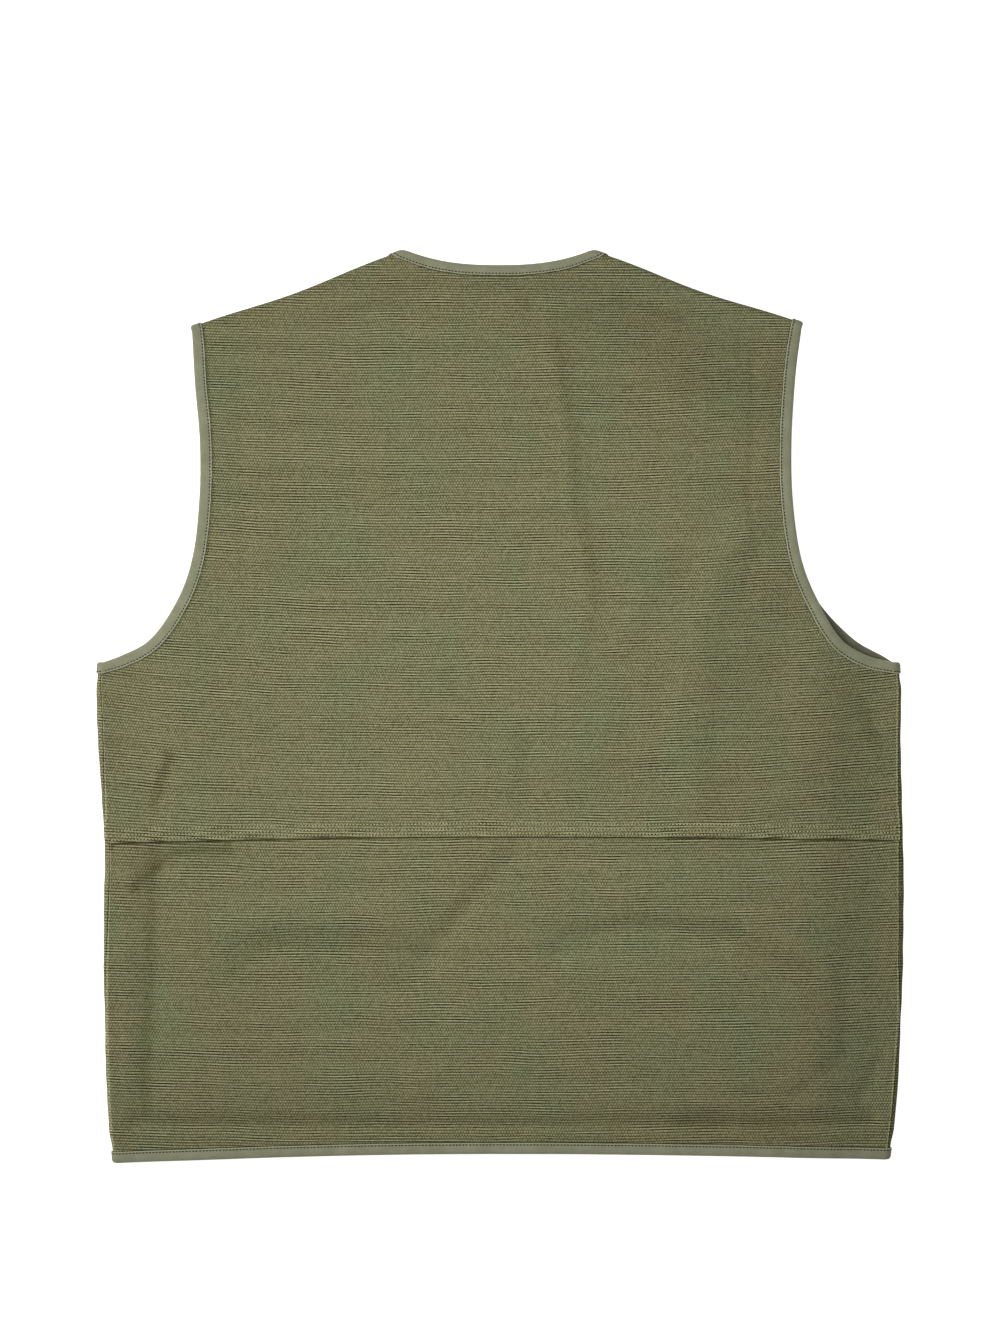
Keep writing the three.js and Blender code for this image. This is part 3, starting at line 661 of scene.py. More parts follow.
def side_swell(side, y, turn):
    """How far the cloth stands out of the side fold at a turn round it, a little unevenly."""
    low, high = meet_fold(side, hem_y)[1] + REACH, height_at(UNDERARM_UP) - REACH
    room = ease((y - low) / SWELL_FADE) * ease((high - y) / SWELL_FADE)
    uneven = waves(y, 0 * y, SWELL_SEED + side, (70, 24), (0.45, 0.3))
    return (SIDE_SWELL + uneven) * room * np.sin(turn) ** 2


def corner_shade(wide=1.0):
    """Painted shade on the cloth in the corner along a binding: distances from its edge, and how dark at
    each.
    """
    inner = TAPE_WIDTH * wide
    end = min(inner + 0.9, REACH - 0.05)
    distances = np.array([TRIM, inner - 0.3, end - 0.3, end, REACH])
    return distances, np.array([0, CORNER_SHADE, CORNER_SHADE, 0, 0])


def lay_under_binding(sheet, edge, height, wide):
    """The cloth's edge under a binding, with painted shade in the corner beside it."""
    distances, shade = corner_shade(wide)
    sheet.lay(edge.at(distances), height, shade)


class Sheet:
    """Patches of the middle of a cloth, joined where they meet. Each point also keeps its place on the flat
    cloth and how much paler or darker it is painted: above 0 paler, by painted light and by rubbing, below 0
    painted shade."""

    def __init__(self):
        self.bm = bmesh.new()
        self.cloth = self.bm.verts.layers.float_vector.new("cloth")

    def add(self, places, cloth=None, painted_light_and_wear=0.0):
        """places is an array of rows of points. cloth gives the place of each on the flat cloth."""
        painted_light_and_wear = np.broadcast_to(painted_light_and_wear, places.shape[:2])
        if cloth is None:
            cloth = cloth_at(places[..., 0], places[..., 1])
        u, v = cloth
        made = []
        for i in range(places.shape[0]):
            row = []
            for j in range(places.shape[1]):
                vert = self.bm.verts.new(places[i, j] * MM)
                vert[self.cloth] = (u[i, j], v[i, j], painted_light_and_wear[i, j])
                row.append(vert)
            made.append(row)
        for low, high in zip(made, made[1:]):
            for j in range(len(low) - 1):
                self.bm.faces.new((low[j], low[j + 1], high[j + 1], high[j]))

    def lay(self, plans, height, painted_light_and_wear=0.0):
        x, y = plans[..., 0], plans[..., 1]
        tone_shift = painted_light_and_wear(x, y) if callable(painted_light_and_wear) else painted_light_and_wear
        self.add(np.concatenate([plans, height(x, y)[..., None]], axis=-1), None, tone_shift)

    def turn(self, fold, ws, turns, lift=0.0, painted_light_and_wear=0.0):
        """A strip of cloth round a fold, with the weave carried on round it."""
        flat = fold.along(ws) + fold.out * (turns * TURN_RADIUS)[..., None]
        self.add(fold.at(ws, turns, lift), cloth_at(flat[..., 0], flat[..., 1]), painted_light_and_wear)

    def piece(self, name, thickness, material):
        bmesh.ops.remove_doubles(self.bm, verts=self.bm.verts, dist=WELD * MM)
        bmesh.ops.recalc_face_normals(self.bm, faces=self.bm.faces)
        made = mesh_object(name, self.bm, material)
        solid = made.modifiers.new("cloth thickness", "SOLIDIFY")
        solid.thickness = thickness * MM
        solid.offset = 0
        weighted = made.modifiers.new("shading", "WEIGHTED_NORMAL")
        weighted.weight = 100
        return made


def mesh_object(name, bm, material):
    mesh = bpy.data.meshes.new(name)
    bm.to_mesh(mesh)
    bm.free()
    mesh.shade_smooth()
    mesh.materials.append(material)
    made = bpy.data.objects.new(name, mesh)
    bpy.context.scene.collection.objects.link(made)
    return made


def flat_area(made):
    """Area of one face of a cloth piece, in square metres. The mesh has two."""
    graph = bpy.context.evaluated_depsgraph_get()
    seen = made.evaluated_get(graph).to_mesh()
    area = sum(face.area for face in seen.polygons)
    made.evaluated_get(graph).to_mesh_clear()
    return area / 2


def belongs(made, node):
    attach(made, "root")
    if node:
        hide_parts(node)


def declare_cloth(made):
    area = flat_area(made)


# Finishes


def linear(hex_colour):
    """A colour in sRGB hex as linear light."""
    parts = [int(hex_colour[i : i + 2], 16) / 255 for i in (1, 3, 5)]
    return [c / 12.92 if c <= 0.04045 else ((c + 0.055) / 1.055) ** 2.4 for c in parts] + [1.0]


def node(tree, kind, inputs=(), **settings):
    """Adds a node with its settings. inputs holds values, or the nodes or sockets that feed them, by the
    name or number of their socket, or else in order."""
    made = tree.nodes.new("ShaderNode" + kind)
    for name, value in settings.items():
        setattr(made, name, value)
    for socket, value in inputs.items() if isinstance(inputs, dict) else enumerate(inputs):
        if isinstance(value, bpy.types.Node):
            value = value.outputs[0]
        if isinstance(value, bpy.types.NodeSocket):
            tree.links.new(value, made.inputs[socket])
        else:
            made.inputs[socket].default_value = value
    return made


def finish_of(name, make, *values):
    """The material of a name. When it's first asked for, make adds its nodes and returns its shader."""
    material = bpy.data.materials.get(name)
    if material is None:
        material = bpy.data.materials.new(name)
        material.use_nodes = True
        tree = material.node_tree
        tree.nodes.clear()
        node(tree, "OutputMaterial", (make(tree, *values),))
    return material


def speckled(tree, scale, detail, dark, light):
    """Two colours mixed by fine noise in the piece's own space, and the noise."""
    place = node(tree, "TexCoord").outputs["Object"]
    noise = node(tree, "TexNoise", {"Vector": place, "Scale": scale, "Detail": detail})
    mix = node(tree, "Mix", {0: noise, 6: linear(dark), 7: linear(light)}, data_type="RGBA")
    return mix.outputs[2], noise


RIB_PITCH = 2.15  # one rib of the canvas
THREAD_PITCH = 2.1  # real threads lie 1 mm apart, which is too fine to show, so they are drawn twice as wide
TWILL_PITCH = 1.4
BUMP_DEPTH = 0.2 * MM


def woven_canvas(tree, looks):
    """Cotton canvas, woven with thick weft ribs and dyed in the piece: matt, in places drawn by dark lines
    between its ribs and in places by the dots of its threads, painted light and shade of the weave's relief
    besides its bump, with small clouds of green and brown. Folded edges are painted paler, with rubbing, and
    painted shade darkens corners and creases."""

    def clouds(scale, low, high, detail=2.0):
        """Noise stretched over the cloth, spread from 0 to 1 between two of its levels."""
        place = node(tree, "VectorMath", (cloth, scale), operation="MULTIPLY")
        noise = node(tree, "TexNoise", {"Vector": place, "Scale": 1.0, "Detail": detail})
        return node(tree, "MapRange", (noise, low, high))

    whole = node(tree, "Attribute", attribute_name="cloth").outputs["Vector"]
    u, v, painted_light_and_wear = node(tree, "SeparateXYZ", (whole,)).outputs
    cloth = node(tree, "CombineXYZ", (u, v))
    # Rows and threads wander by a few millimetres over about 70. Both are counted from here on.
    drift = node(tree, "TexNoise", {"Vector": cloth, "Scale": 0.014, "Detail": 1.0}).outputs["Color"]
    drift = node(tree, "SeparateXYZ", (drift,)).outputs
    row = node(tree, "Math", (drift[0], 4.0, v), operation="MULTIPLY_ADD")
    row = node(tree, "Math", (row, RIB_PITCH), operation="DIVIDE")
    row_number = node(tree, "Math", (row,), operation="FLOOR")
    along = node(tree, "Math", (drift[1], 5.0, u), operation="MULTIPLY_ADD")
    along = node(tree, "Math", (along, THREAD_PITCH), operation="DIVIDE")
    along = node(tree, "Math", (row_number, 0.5, along), operation="MULTIPLY_ADD")

    # Each row and each thread is a ridge, and each quarter of a crossing has a shade of its own.
    ridges, fibre = [], []
    for place in (along, row):
        turns = node(tree, "Math", (place, 0.5), operation="SUBTRACT")
        turns = node(tree, "Math", (turns, 2 * math.pi), operation="MULTIPLY")
        ridges.append(node(tree, "Math", (turns,), operation="COSINE"))
        halves = node(tree, "Math", (place, 2.0), operation="MULTIPLY")
        fibre.append(node(tree, "Math", (halves,), operation="FLOOR"))
    dot, line = ridges
    cell = node(tree, "CombineXYZ", fibre)
    chance = node(tree, "TexWhiteNoise", {"Vector": cell}, noise_dimensions="2D")

    # Each rib stands out over some lengths of its own, and the dots show where it doesn't.
    own_u = node(tree, "Math", (u, 0.04), operation="MULTIPLY")
    own_v = node(tree, "Math", (row_number, 5.3), operation="MULTIPLY")
    own = node(tree, "CombineXYZ", (own_u, own_v))
    own = node(tree, "TexNoise", {"Vector": own, "Scale": 1.0, "Detail": 1.0})
    own = node(tree, "MapRange", (own, 0.46, 0.66))
    bands = clouds((0.01, 0.05, 0), 0.38, 0.62)
    bands = node(tree, "Math", (bands, 0.3), operation="MULTIPLY")
    bands = node(tree, "Math", (own, 0.7, bands), operation="MULTIPLY_ADD")
    line_share = node(tree, "Math", (bands, 0.95, 0.17), operation="MULTIPLY_ADD")
    lines = node(tree, "Math", (line, line_share), operation="MULTIPLY")
    dot_share = node(tree, "Math", (1.0, bands), operation="SUBTRACT")
    dot_share = node(tree, "Math", (dot_share, 0.35, 0.15), operation="MULTIPLY_ADD")
    dots = node(tree, "Math", (line, 0.35, 0.65), operation="MULTIPLY_ADD")
    dots = node(tree, "Math", (dot, dots), operation="MULTIPLY")
    dots = node(tree, "Math", (dots, dot_share), operation="MULTIPLY")
    relief = node(tree, "Math", (lines, dots), operation="ADD")
    speck = node(tree, "Math", (chance, 0.5), operation="SUBTRACT")
    speck = node(tree, "Math", (speck, 0.45), operation="MULTIPLY")
    weave = node(tree, "Math", (relief, speck), operation="ADD")
    weave = node(tree, "Math", (weave, looks.weave_contrast), operation="MULTIPLY")

    # Faint streaks run along the ribs; folded edges are painted paler, with rubbing, and painted shade
    # darkens corners and creases.
    streaks = clouds((0.004, 0.11, 0), 0.3, 0.7, 3.0)
    streaks = node(tree, "Math", (streaks, 0.14), operation="MULTIPLY")
    # The weave's relief is painted into the tone: light on its ridges, shade in its gaps.
    tone = node(tree, "Math", (weave, 0.93), operation="ADD")
    tone = node(tree, "Math", (tone, streaks), operation="ADD")
    tone_shift = node(tree, "Math", (painted_light_and_wear, 0.55, 1.0), operation="MULTIPLY_ADD")
    tone = node(tree, "Math", (tone, tone_shift), operation="MULTIPLY")
    tone = node(tree, "Math", (tone, 0.05), operation="MAXIMUM")

    hue = clouds((0.02, 0.014, 0), 0.3, 0.7)
    yarn = {0: hue, 6: linear(looks.canvas_brown), 7: linear(looks.canvas_green)}
    thread = node(tree, "Mix", yarn, data_type="RGBA").outputs[2]
    # Where the tone is darker, in the painted shade of the gaps between ribs and of corners and creases, the
    # colour is deeper and yellower.
    depth = node(tree, "Math", (tone, 1.2), operation="DIVIDE")
    gaps = {0: depth, 6: (1.04, 1.0, 0.55, 1), 7: (1, 1, 1.08, 1)}
    tint = node(tree, "Mix", gaps, data_type="RGBA").outputs[2]
    thread = node(tree, "VectorMath", (thread, tint), operation="MULTIPLY")
    colour = node(tree, "VectorMath", {0: thread, "Scale": tone}, operation="SCALE")
    bump = node(tree, "Bump", {"Height": relief, "Distance": BUMP_DEPTH, "Strength": 0.6})
    return node(tree, "BsdfPrincipled", {
        "Base Color": colour, "Normal": bump, "Roughness": 0.95, "Specular IOR Level": 0.05,
    })


def woven_tape(tree, looks):
    """Cotton twill tape, pressed and folded: smoother and paler than the canvas, with a fine grain and faint
    clouds where it is drawn up by its stitches. Its folded edges are painted paler, a highlight with rubbing,
    and painted shade darkens its grooves, the side of its inner edge and the fronts' inner face."""
    whole = node(tree, "Attribute", attribute_name="cloth").outputs["Vector"]
    u, v, painted_light_and_wear = node(tree, "SeparateXYZ", (whole,)).outputs
    cloth = node(tree, "CombineXYZ", (u, v))
    slant = node(tree, "Math", (u, v), operation="ADD")
    slant = node(tree, "Math", (slant, 2 * math.pi / TWILL_PITCH), operation="MULTIPLY")
    twill = node(tree, "Math", (slant,), operation="SINE")
    grain = node(tree, "TexNoise", {"Vector": cloth, "Scale": 0.8, "Detail": 3.0})
    cloud = node(tree, "TexNoise", {"Vector": cloth, "Scale": 0.1, "Detail": 2.0})
    # The cloth's places are millimetres, so the grain is about 1 mm and the clouds about 10 mm.
    mix = node(tree, "Math", (grain, 0.25), operation="MULTIPLY")
    mix = node(tree, "Math", (cloud, 0.75, mix), operation="MULTIPLY_ADD")
    share = node(tree, "MapRange", (mix, 0.38, 0.62))
    colours = {0: share, 6: linear(looks.tape_dark), 7: linear(looks.tape_light)}
    colour = node(tree, "Mix", colours, data_type="RGBA").outputs[2]
    tone = node(tree, "Math", (grain, 0.3, 0.85), operation="MULTIPLY_ADD")
    tone = node(tree, "Math", (twill, 0.035, tone), operation="MULTIPLY_ADD")
    # The tape's painted highlight and shade, and its rubbing, from the cloth attribute.
    tone_shift = node(tree, "Math", (painted_light_and_wear, 0.8, 1.0), operation="MULTIPLY_ADD")
    tone = node(tree, "Math", (tone, tone_shift), operation="MULTIPLY")
    colour = node(tree, "VectorMath", {0: colour, "Scale": tone}, operation="SCALE")
    height = node(tree, "Math", (twill, 0.2, grain), operation="MULTIPLY_ADD")
    bump = node(tree, "Bump", {"Height": height, "Distance": BUMP_DEPTH, "Strength": 0.5})
    return node(tree, "BsdfPrincipled", {
        "Base Color": colour, "Normal": bump, "Roughness": 0.85, "Specular IOR Level": 0.15,
        "Sheen Weight": 0.05,
    })


def spun_thread(tree, colour):
    """Spun polyester sewing thread: a faint gloss and fine turns of its yarn."""
    place = node(tree, "TexCoord").outputs["Object"]
    turns = node(tree, "TexNoise", {"Vector": place, "Scale": 1800.0, "Detail": 1.0})
    shade = node(tree, "MapRange", (turns, 0.3, 0.7, 0.8, 1.15))
    mixed = node(tree, "VectorMath", {0: linear(colour)[:3], "Scale": shade}, operation="SCALE")
    return node(tree, "BsdfPrincipled", {
        "Base Color": mixed, "Roughness": 0.8, "Specular IOR Level": 0.06,
    })


def needle_hole(tree):
    """Painted shade for the hole that a needle leaves between two stitches."""
    colour, _ = speckled(tree, 900.0, 2.0, "#2a2a1b", "#3c3b27")
    return node(tree, "BsdfPrincipled", {"Base Color": colour, "Roughness": 1.0})


def moulded_plastic(tree, looks):
    """Acetal zip teeth, moulded and dyed to match: smooth with a soft gloss and faint mottling."""
    colour, mottle = speckled(tree, 220.0, 3.0, "#4b4c35", looks.zip_colour)
    bump = node(tree, "Bump", {"Height": mottle, "Distance": 0.05 * MM, "Strength": 0.4})
    return node(tree, "BsdfPrincipled", {"Base Color": colour, "Normal": bump, "Roughness": 0.42})


def painted_board(tree):
    """A white board with matt paint, lit a little from behind, so that it gives only a soft pale shadow."""
    colour, _ = speckled(tree, 90.0, 3.0, "#f2f2f1", "#f7f7f6")
    return node(tree, "BsdfPrincipled", {
        "Base Color": colour, "Roughness": 0.9, "Emission Color": (1, 1, 1, 1), "Emission Strength": 0.8,
    })


# Stitches


# A stitch, end to end: shares of its length, how thick it is and how high it stands, as shares of its radius.
STITCH_RINGS = ((-0.5, 0.35, -0.5), (-0.3, 0.9, 0.35), (0.3, 0.9, 0.35), (0.5, 0.35, -0.5))
SIDES_ROUND = 6  # of a stitch and of a needle hole
TURNS_ROUND = [2 * math.pi * k / SIDES_ROUND for k in range(SIDES_ROUND)]
HOLE_LIFT, HOLE_DEPTH = 0.06, 0.3


def places_of(rows):
    """Each place of rows of stitches, with the ways along the row, across it and up out of the cloth."""
    for places, alongs in rows:
        for place, along in zip(places, alongs):
            along = along / np.linalg.norm(along)
            beside = np.cross((0, 0, 1), along)
            beside /= np.linalg.norm(beside)
            yield place, along, beside, np.cross(along, beside)


def join_rings(bm, rings, closed=False):
    """Faces between rings of points. The first and the last are capped, or joined to each other."""
    count = len(rings[0])
    for low, high in zip(rings, rings[1:] + rings[:1] if closed else rings[1:]):
        for k in range(count):
            bm.faces.new((low[k], low[(k + 1) % count], high[(k + 1) % count], high[k]))
    if not closed:
        bm.faces.new(list(reversed(rings[0])))
        bm.faces.new(rings[-1])


def stitch_rows(name, rows, thread, radius, length):
    """Stitches as short dives of thread. Each row has its places and the way along at each."""
    bm = bmesh.new()
    for place, along, beside, up in places_of(rows):
        rings = []
        for share, wide, lift in STITCH_RINGS:
            centre = place + along * share * length + up * lift * radius
            spots = [beside * math.cos(turn) + up * math.sin(turn) for turn in TURNS_ROUND]
            rings.append([bm.verts.new((centre + spot * radius * wide) * MM) for spot in spots])
        join_rings(bm, rings)
    bmesh.ops.recalc_face_normals(bm, faces=bm.faces)
    return mesh_object(name, bm, thread)


def hole_shade_rows(name, rows, radius, length):
    """Flat dark discs of painted shade for the needle holes, a hair above the cloth, halfway between
    stitches.
    """
    bm = bmesh.new()
    for place, along, beside, up in places_of(rows):
        centre = place + along * length * 0.5
        spots = [along * math.cos(turn) * 0.8 + beside * math.sin(turn) for turn in TURNS_ROUND]
        rim = [bm.verts.new((centre + spot * radius + up * HOLE_LIFT) * MM) for spot in spots]
        low = bm.verts.new((centre - up * HOLE_DEPTH) * MM)
        bm.faces.new(rim)
        for k in range(SIDES_ROUND):
            bm.faces.new((rim[k], low, rim[(k + 1) % SIDES_ROUND]))
    bmesh.ops.recalc_face_normals(bm, faces=bm.faces)
    return mesh_object(name, bm, finish_of("needle_hole_painted_shade", needle_hole))


def walk(places, pitch, rng):
    """Places and directions at an even pitch along a chain of points, a little uneven as sewing is."""
    run = run_along(places)
    wanted = np.arange(pitch / 2, run[-1], pitch)
    wanted = wanted + rng.uniform(-0.08, 0.08, len(wanted)) * pitch
    before, after = np.maximum(wanted - 0.8, 0), np.minimum(wanted + 0.8, run[-1])
    return point_at(wanted, run, places), point_at(after, run, places) - point_at(before, run, places)


# Binding


def tape_section():
    """The binding's section: distances in from its edge, and off the middle of the cloth."""
    face = [
        (TAPE_WIDTH, 1.05),
        (TAPE_WIDTH + 0.03, 1.5),
        (TAPE_WIDTH - 0.2, 1.86),
        (TAPE_WIDTH - 0.65, 1.86),
        (BINDING_ROW + 0.35, 1.62),
        (BINDING_ROW, 1.48),
        (BINDING_ROW - 0.4, 1.6),
        (BINDING_ROW - 1.2, 1.78),
        (4.0, 1.85),
        (2.6, 1.82),
        (1.5, 1.66),
        (0.7, 1.3),
        (0.2, 0.75),
        (0.0, 0.0),
    ]
    under = [(s, -t) for s, t in reversed(face[:-1])]
    inside = [(TAPE_WIDTH - 0.1, -0.9), (TAPE, -0.9), (TAPE, 0.9), (TAPE_WIDTH - 0.1, 0.9)]
    return np.array([*face, *under, *inside])


def tape_painted_light_and_wear(section):
    """The tape is painted paler along its folded inner edge, a highlight with rubbing. Painted shade darkens
    the groove of its stitches and the side of its inner edge against the cloth, and its outer fold is a
    little rubbed."""
    s, t = section.T
    edge = np.where((s > TAPE_WIDTH - 0.9) & (np.abs(t) > 1.4), TAPE_EDGE_HIGHLIGHT_AND_RUB, 0.0)
    groove = np.where(s == BINDING_ROW, GROOVE_SHADE, 0.0)
    seam = np.where((s > TAPE_WIDTH - 0.3) & (np.abs(t) < 1.4), UNDER_TAPE_SHADE, 0.0)
    return edge + groove + seam + TAPE_FOLD_RUB * (s < 0.8)


def tape_wobble(run, seed):
    """How far the tape's inner edge wanders, and how it draws up, along its run."""
    rng = np.random.default_rng(seed)
    wander, rise = 0.0, 0.0
    for length, size in ((41, 0.5), (19, 0.6), (9.5, 0.5), (6.1, 0.35)):
        phase = rng.uniform(0, 2 * math.pi, 2)
        wander = wander + size * np.sin(2 * math.pi * run / length + phase[0])
        rise = rise + size * np.sin(2 * math.pi * run / (length * 0.83) + phase[1])
    return wander * 0.011, rise * 0.09


class Binding:
    """Sections of a folded tape, gathered along an edge and round its folds, and its rows of stitches."""

    def __init__(self, seed):
        self.seed = seed
        self.sections, self.shades = [], []
        self.last = None
        self.run = [0.0]

    def put(self, places, shade=0.0):
        """places is an array of sections of points in order along the tape. shade is painted shade for
        their inner face.
        """
        for section in places:
            if self.last is not None:
                step = np.linalg.norm(section.mean(axis=0) - self.last)
                if step < 0.02:
                    continue
                self.run.append(self.run[-1] + step)
            self.last = section.mean(axis=0)
            self.sections.append(section)
            self.shades.append(shade)

    def lay(self, edge, height, lift, backwards=False, wide=1.0):
        """Lays the tape along an edge, as much wider as wide says."""
        section = tape_section()
        wander, rise = tape_wobble(edge.run, self.seed + (1 if lift > 0 else 2))
        hold = clamp(np.minimum(edge.run, edge.run[-1] - edge.run) / 12)
        spread = wander[:, None] * (section[:, 0] / TAPE_WIDTH)[None, :] ** 2 + wide - 1
        widths = 1 + spread * hold[:, None]
        plans = edge.at(section[:, 0]) if isinstance(edge, HemEdge) else edge.at(section[:, 0] * widths)
        z = height(plans[..., 0], plans[..., 1]) + section[:, 1] * lift
        draw = np.where(np.abs(section[:, 1]) > 1.2, 1, 0.4) * (section[:, 0] / TAPE_WIDTH)
        z = z + (rise * hold)[:, None] * draw[None, :]
        places = np.concatenate([plans, z[..., None]], axis=-1)[1:-1]
        self.put(places[::-1] if backwards else places, INNER_SHADE if lift < 0 else 0.0)

    def turn(self, fold, from_back, place, inwards):
        """Takes the tape round a fold. place and inwards are numbers, or functions of the turn."""
        section = tape_section()
        turns = np.linspace(0, math.pi, TURN_STEPS + 1)
        if not from_back:
            turns = turns[::-1]
        if callable(place):
            place, inwards = place(turns)[:, None], inwards(turns)[:, None]
        ws = place + inwards * section[None, :, 0]
        self.put(fold.at(ws, turns[:, None], section[None, :, 1]))

    def piece(self, name, material, closed):
        section = tape_section()
        bm = bmesh.new()
        layer = bm.verts.layers.float_vector.new("cloth")
        painted_light_and_wear = tape_painted_light_and_wear(section)
        inner = section[:, 1] < 0.3
        round_run = run_along(section)
        rings = []
        for run, points, shade in zip(self.run, self.sections, self.shades):
            ring = []
            for v, tone_shift, point in zip(round_run, painted_light_and_wear + shade * inner, points):
                vert = bm.verts.new(point * MM)
                vert[layer] = (run, v, tone_shift)
                ring.append(vert)
            rings.append(ring)
        join_rings(bm, rings, closed)
        bmesh.ops.recalc_face_normals(bm, faces=bm.faces)
        return mesh_object(name, bm, material)

    def rows(self, pitch):
        """The row of stitches on each face of the tape: the lowest points of its two grooves."""
        section = tape_section()
        groove = [i for i, (s, t) in enumerate(section) if s == BINDING_ROW]
        rng = np.random.default_rng(self.seed)
        return [walk(np.array([s[i] for s in self.sections]), pitch, rng) for i in groove]


def sew(binding, made, looks):
    """The stitches of a binding, on its outer and inner face."""
    # The dark binding thread also paints the shade of its needle holes.
    thread = finish_of("spun_polyester_thread_dark", spun_thread, looks.tape_thread)
    rows = binding.rows(BINDING_PITCH)
    stitches = stitch_rows(made.name + "_stitches", rows, thread, *BINDING_STITCH)
    belongs(stitches, None)
    return stitches


# Panels


def bound_run(start, end, count, spread=1.0):
    """Places between two bound edges: the cloth's edges, and between them steps from just past the tape."""
    way = math.copysign(1, end - start)
    inside = np.linspace(start + way * REACH * spread, end - way * REACH, count + 1)
    return np.concatenate([[start + way * TRIM * spread], inside, [end - way * TRIM]])


def shoulder_run(side, turn, count):
    return bound_run(neck_shift(turn), SHOULDER[side].length, count, float(neck_spread(turn)))


SHOULDER_STEPS = steps_for(SHOULDER[1].length, CELL)
NECK_STEPS = steps_for(NECK_WIDTH, CELL)


def back_top():
    left, right = (SHOULDER[s].along(shoulder_run(s, 0, SHOULDER_STEPS)[1:-1]) for s in (-1, 1))
    neck = back_neck_edge(NECK_STEPS).at([REACH])[1:-1, 0]
    return np.concatenate([left[::-1], neck, right])


BACK_TOP = back_top()
BACK_SPREAD = shares(BACK_TOP)


def across(curve, up=0.0):
    """A row of points across the back, up above a curve, spread as its top is."""
    left, right = (meet_fold(side, curve, up)[0] for side in (-1, 1))
    x = lerp(left, right, BACK_SPREAD)
    return pair(x, curve(x) + up)


def fill(bottom, top, left, right, u, v):
    """Blends four edges of a panel into rows of plan points."""
    u, v = u[None, :, None], v[:, None, None]
    corners = (1 - v) * ((1 - u) * bottom[0] + u * bottom[-1]) + v * ((1 - u) * top[0] + u * top[-1])
    return (
        (1 - v) * bottom[None] + v * top[None] + (1 - u) * left[:, None] + u * right[:, None] - corners
    )


def turn_sides(sheet, side, ys, lift):
    """The back's cloth turns a little way round the side, to the folded edge at the seam."""
    share = np.array(SIDE_STEPS)
    turns = seam_turn(side, ys)[:, None] * share
    # The folded edge is painted paler: a highlight along it, with rubbing.
    tone_shift = SIDE_EDGE_HIGHLIGHT_AND_RUB * ease((share - 0.35) / 0.5)
    swell = side_swell(side, ys[:, None], turns)
    sheet.turn(SIDE[side], -ys[:, None], turns, lift + SIDE_LIP * share**4 + swell, tone_shift)


def back_upper_piece(looks):
    sheet = Sheet()
    lap_rows = [across(lap_y, up) for up in LAP_STEPS]
    lap_top = across(lap_y, LAP_DEPTH)
    arms = {side: armhole_edge("back", side, CELL) for side in (-1, 1)}
    low = {side: meet_fold(side, lap_y, LAP_DEPTH)[1] for side in (-1, 1)}
    top_y = height_at(UNDERARM_UP) - REACH
    count = steps_for(top_y - low[1], CELL)
    ys = {side: np.linspace(low[side], top_y, count + 1) for side in (-1, 1)}
    arm_count = min(len(arms[-1].points), len(arms[1].points)) - 1
    for side in (-1, 1):
        arms[side] = Edge(
            evenly(arms[side].points, arm_count), side, arms[side].first, arms[side].last
        )
    sides = {s: np.concatenate([side_point(s, ys[s]), arms[s].at([REACH])[1:, 0]]) for s in (-1, 1)}
    upward = (shares(sides[-1]) + shares(sides[1])) / 2
    rows = fill(lap_top, BACK_TOP, sides[-1], sides[1], BACK_SPREAD, upward)
    sheet.lay(np.concatenate([np.stack(lap_rows), rows]), upper_height, lap_painted_light_and_wear)
    for edge, wide in ((arms[-1], ARM_TAPE), (arms[1], ARM_TAPE), (back_neck_edge(NECK_STEPS), NECK_TAPE)):
        lay_under_binding(sheet, edge, upper_height, wide)
    for k, side in enumerate((-1, 1)):
        edge_ys = [row[0 if side < 0 else -1][1] for row in lap_rows]
        down = np.concatenate([edge_ys, ys[side], [arms[side].at([TRIM])[0, 0, 1]]])
        x = side_point(side, down)[:, 0]
        turn_sides(sheet, side, down, (lap_rise(x, down) + lap_pucker(x, down))[:, None])
        turns = np.linspace(0, SHOULDER_SEAM_TURN, TURN_STEPS - 4)
        ws = np.stack([shoulder_run(side, turn, SHOULDER_STEPS) for turn in turns])
        sheet.turn(SHOULDER[side], ws, turns[:, None])
    return sheet.piece("upper_back", CLOTH, finish_of("woven_cotton_canvas", woven_canvas, looks))


def back_lower_piece(looks):
    sheet = Sheet()
    count = steps_for(LAP_HEIGHT - REACH, CELL)
    ups, shade = corner_shade()
    bound = np.stack([across(hem_y, up) for up in ups])
    between = [
        across(lambda x, t=t: lerp(hem_y(x) + REACH, lap_y(x) - 3, t)) for t in np.linspace(0, 1, count + 1)
    ]
    under = [across(lap_y, up) for up in UNDER_LAP_STEPS]
    rows = np.stack([*between, *under])
    sheet.lay(bound, back_height, shade[:, None])
    sheet.lay(rows, back_height, lap_shade)
    for side, column_of in ((-1, 0), (1, -1)):
        turn_sides(sheet, side, np.concatenate([bound[:-1, column_of, 1], rows[:, column_of, 1]]), 0.0)
    return sheet.piece("lower_back", CLOTH, finish_of("woven_cotton_canvas", woven_canvas, looks))


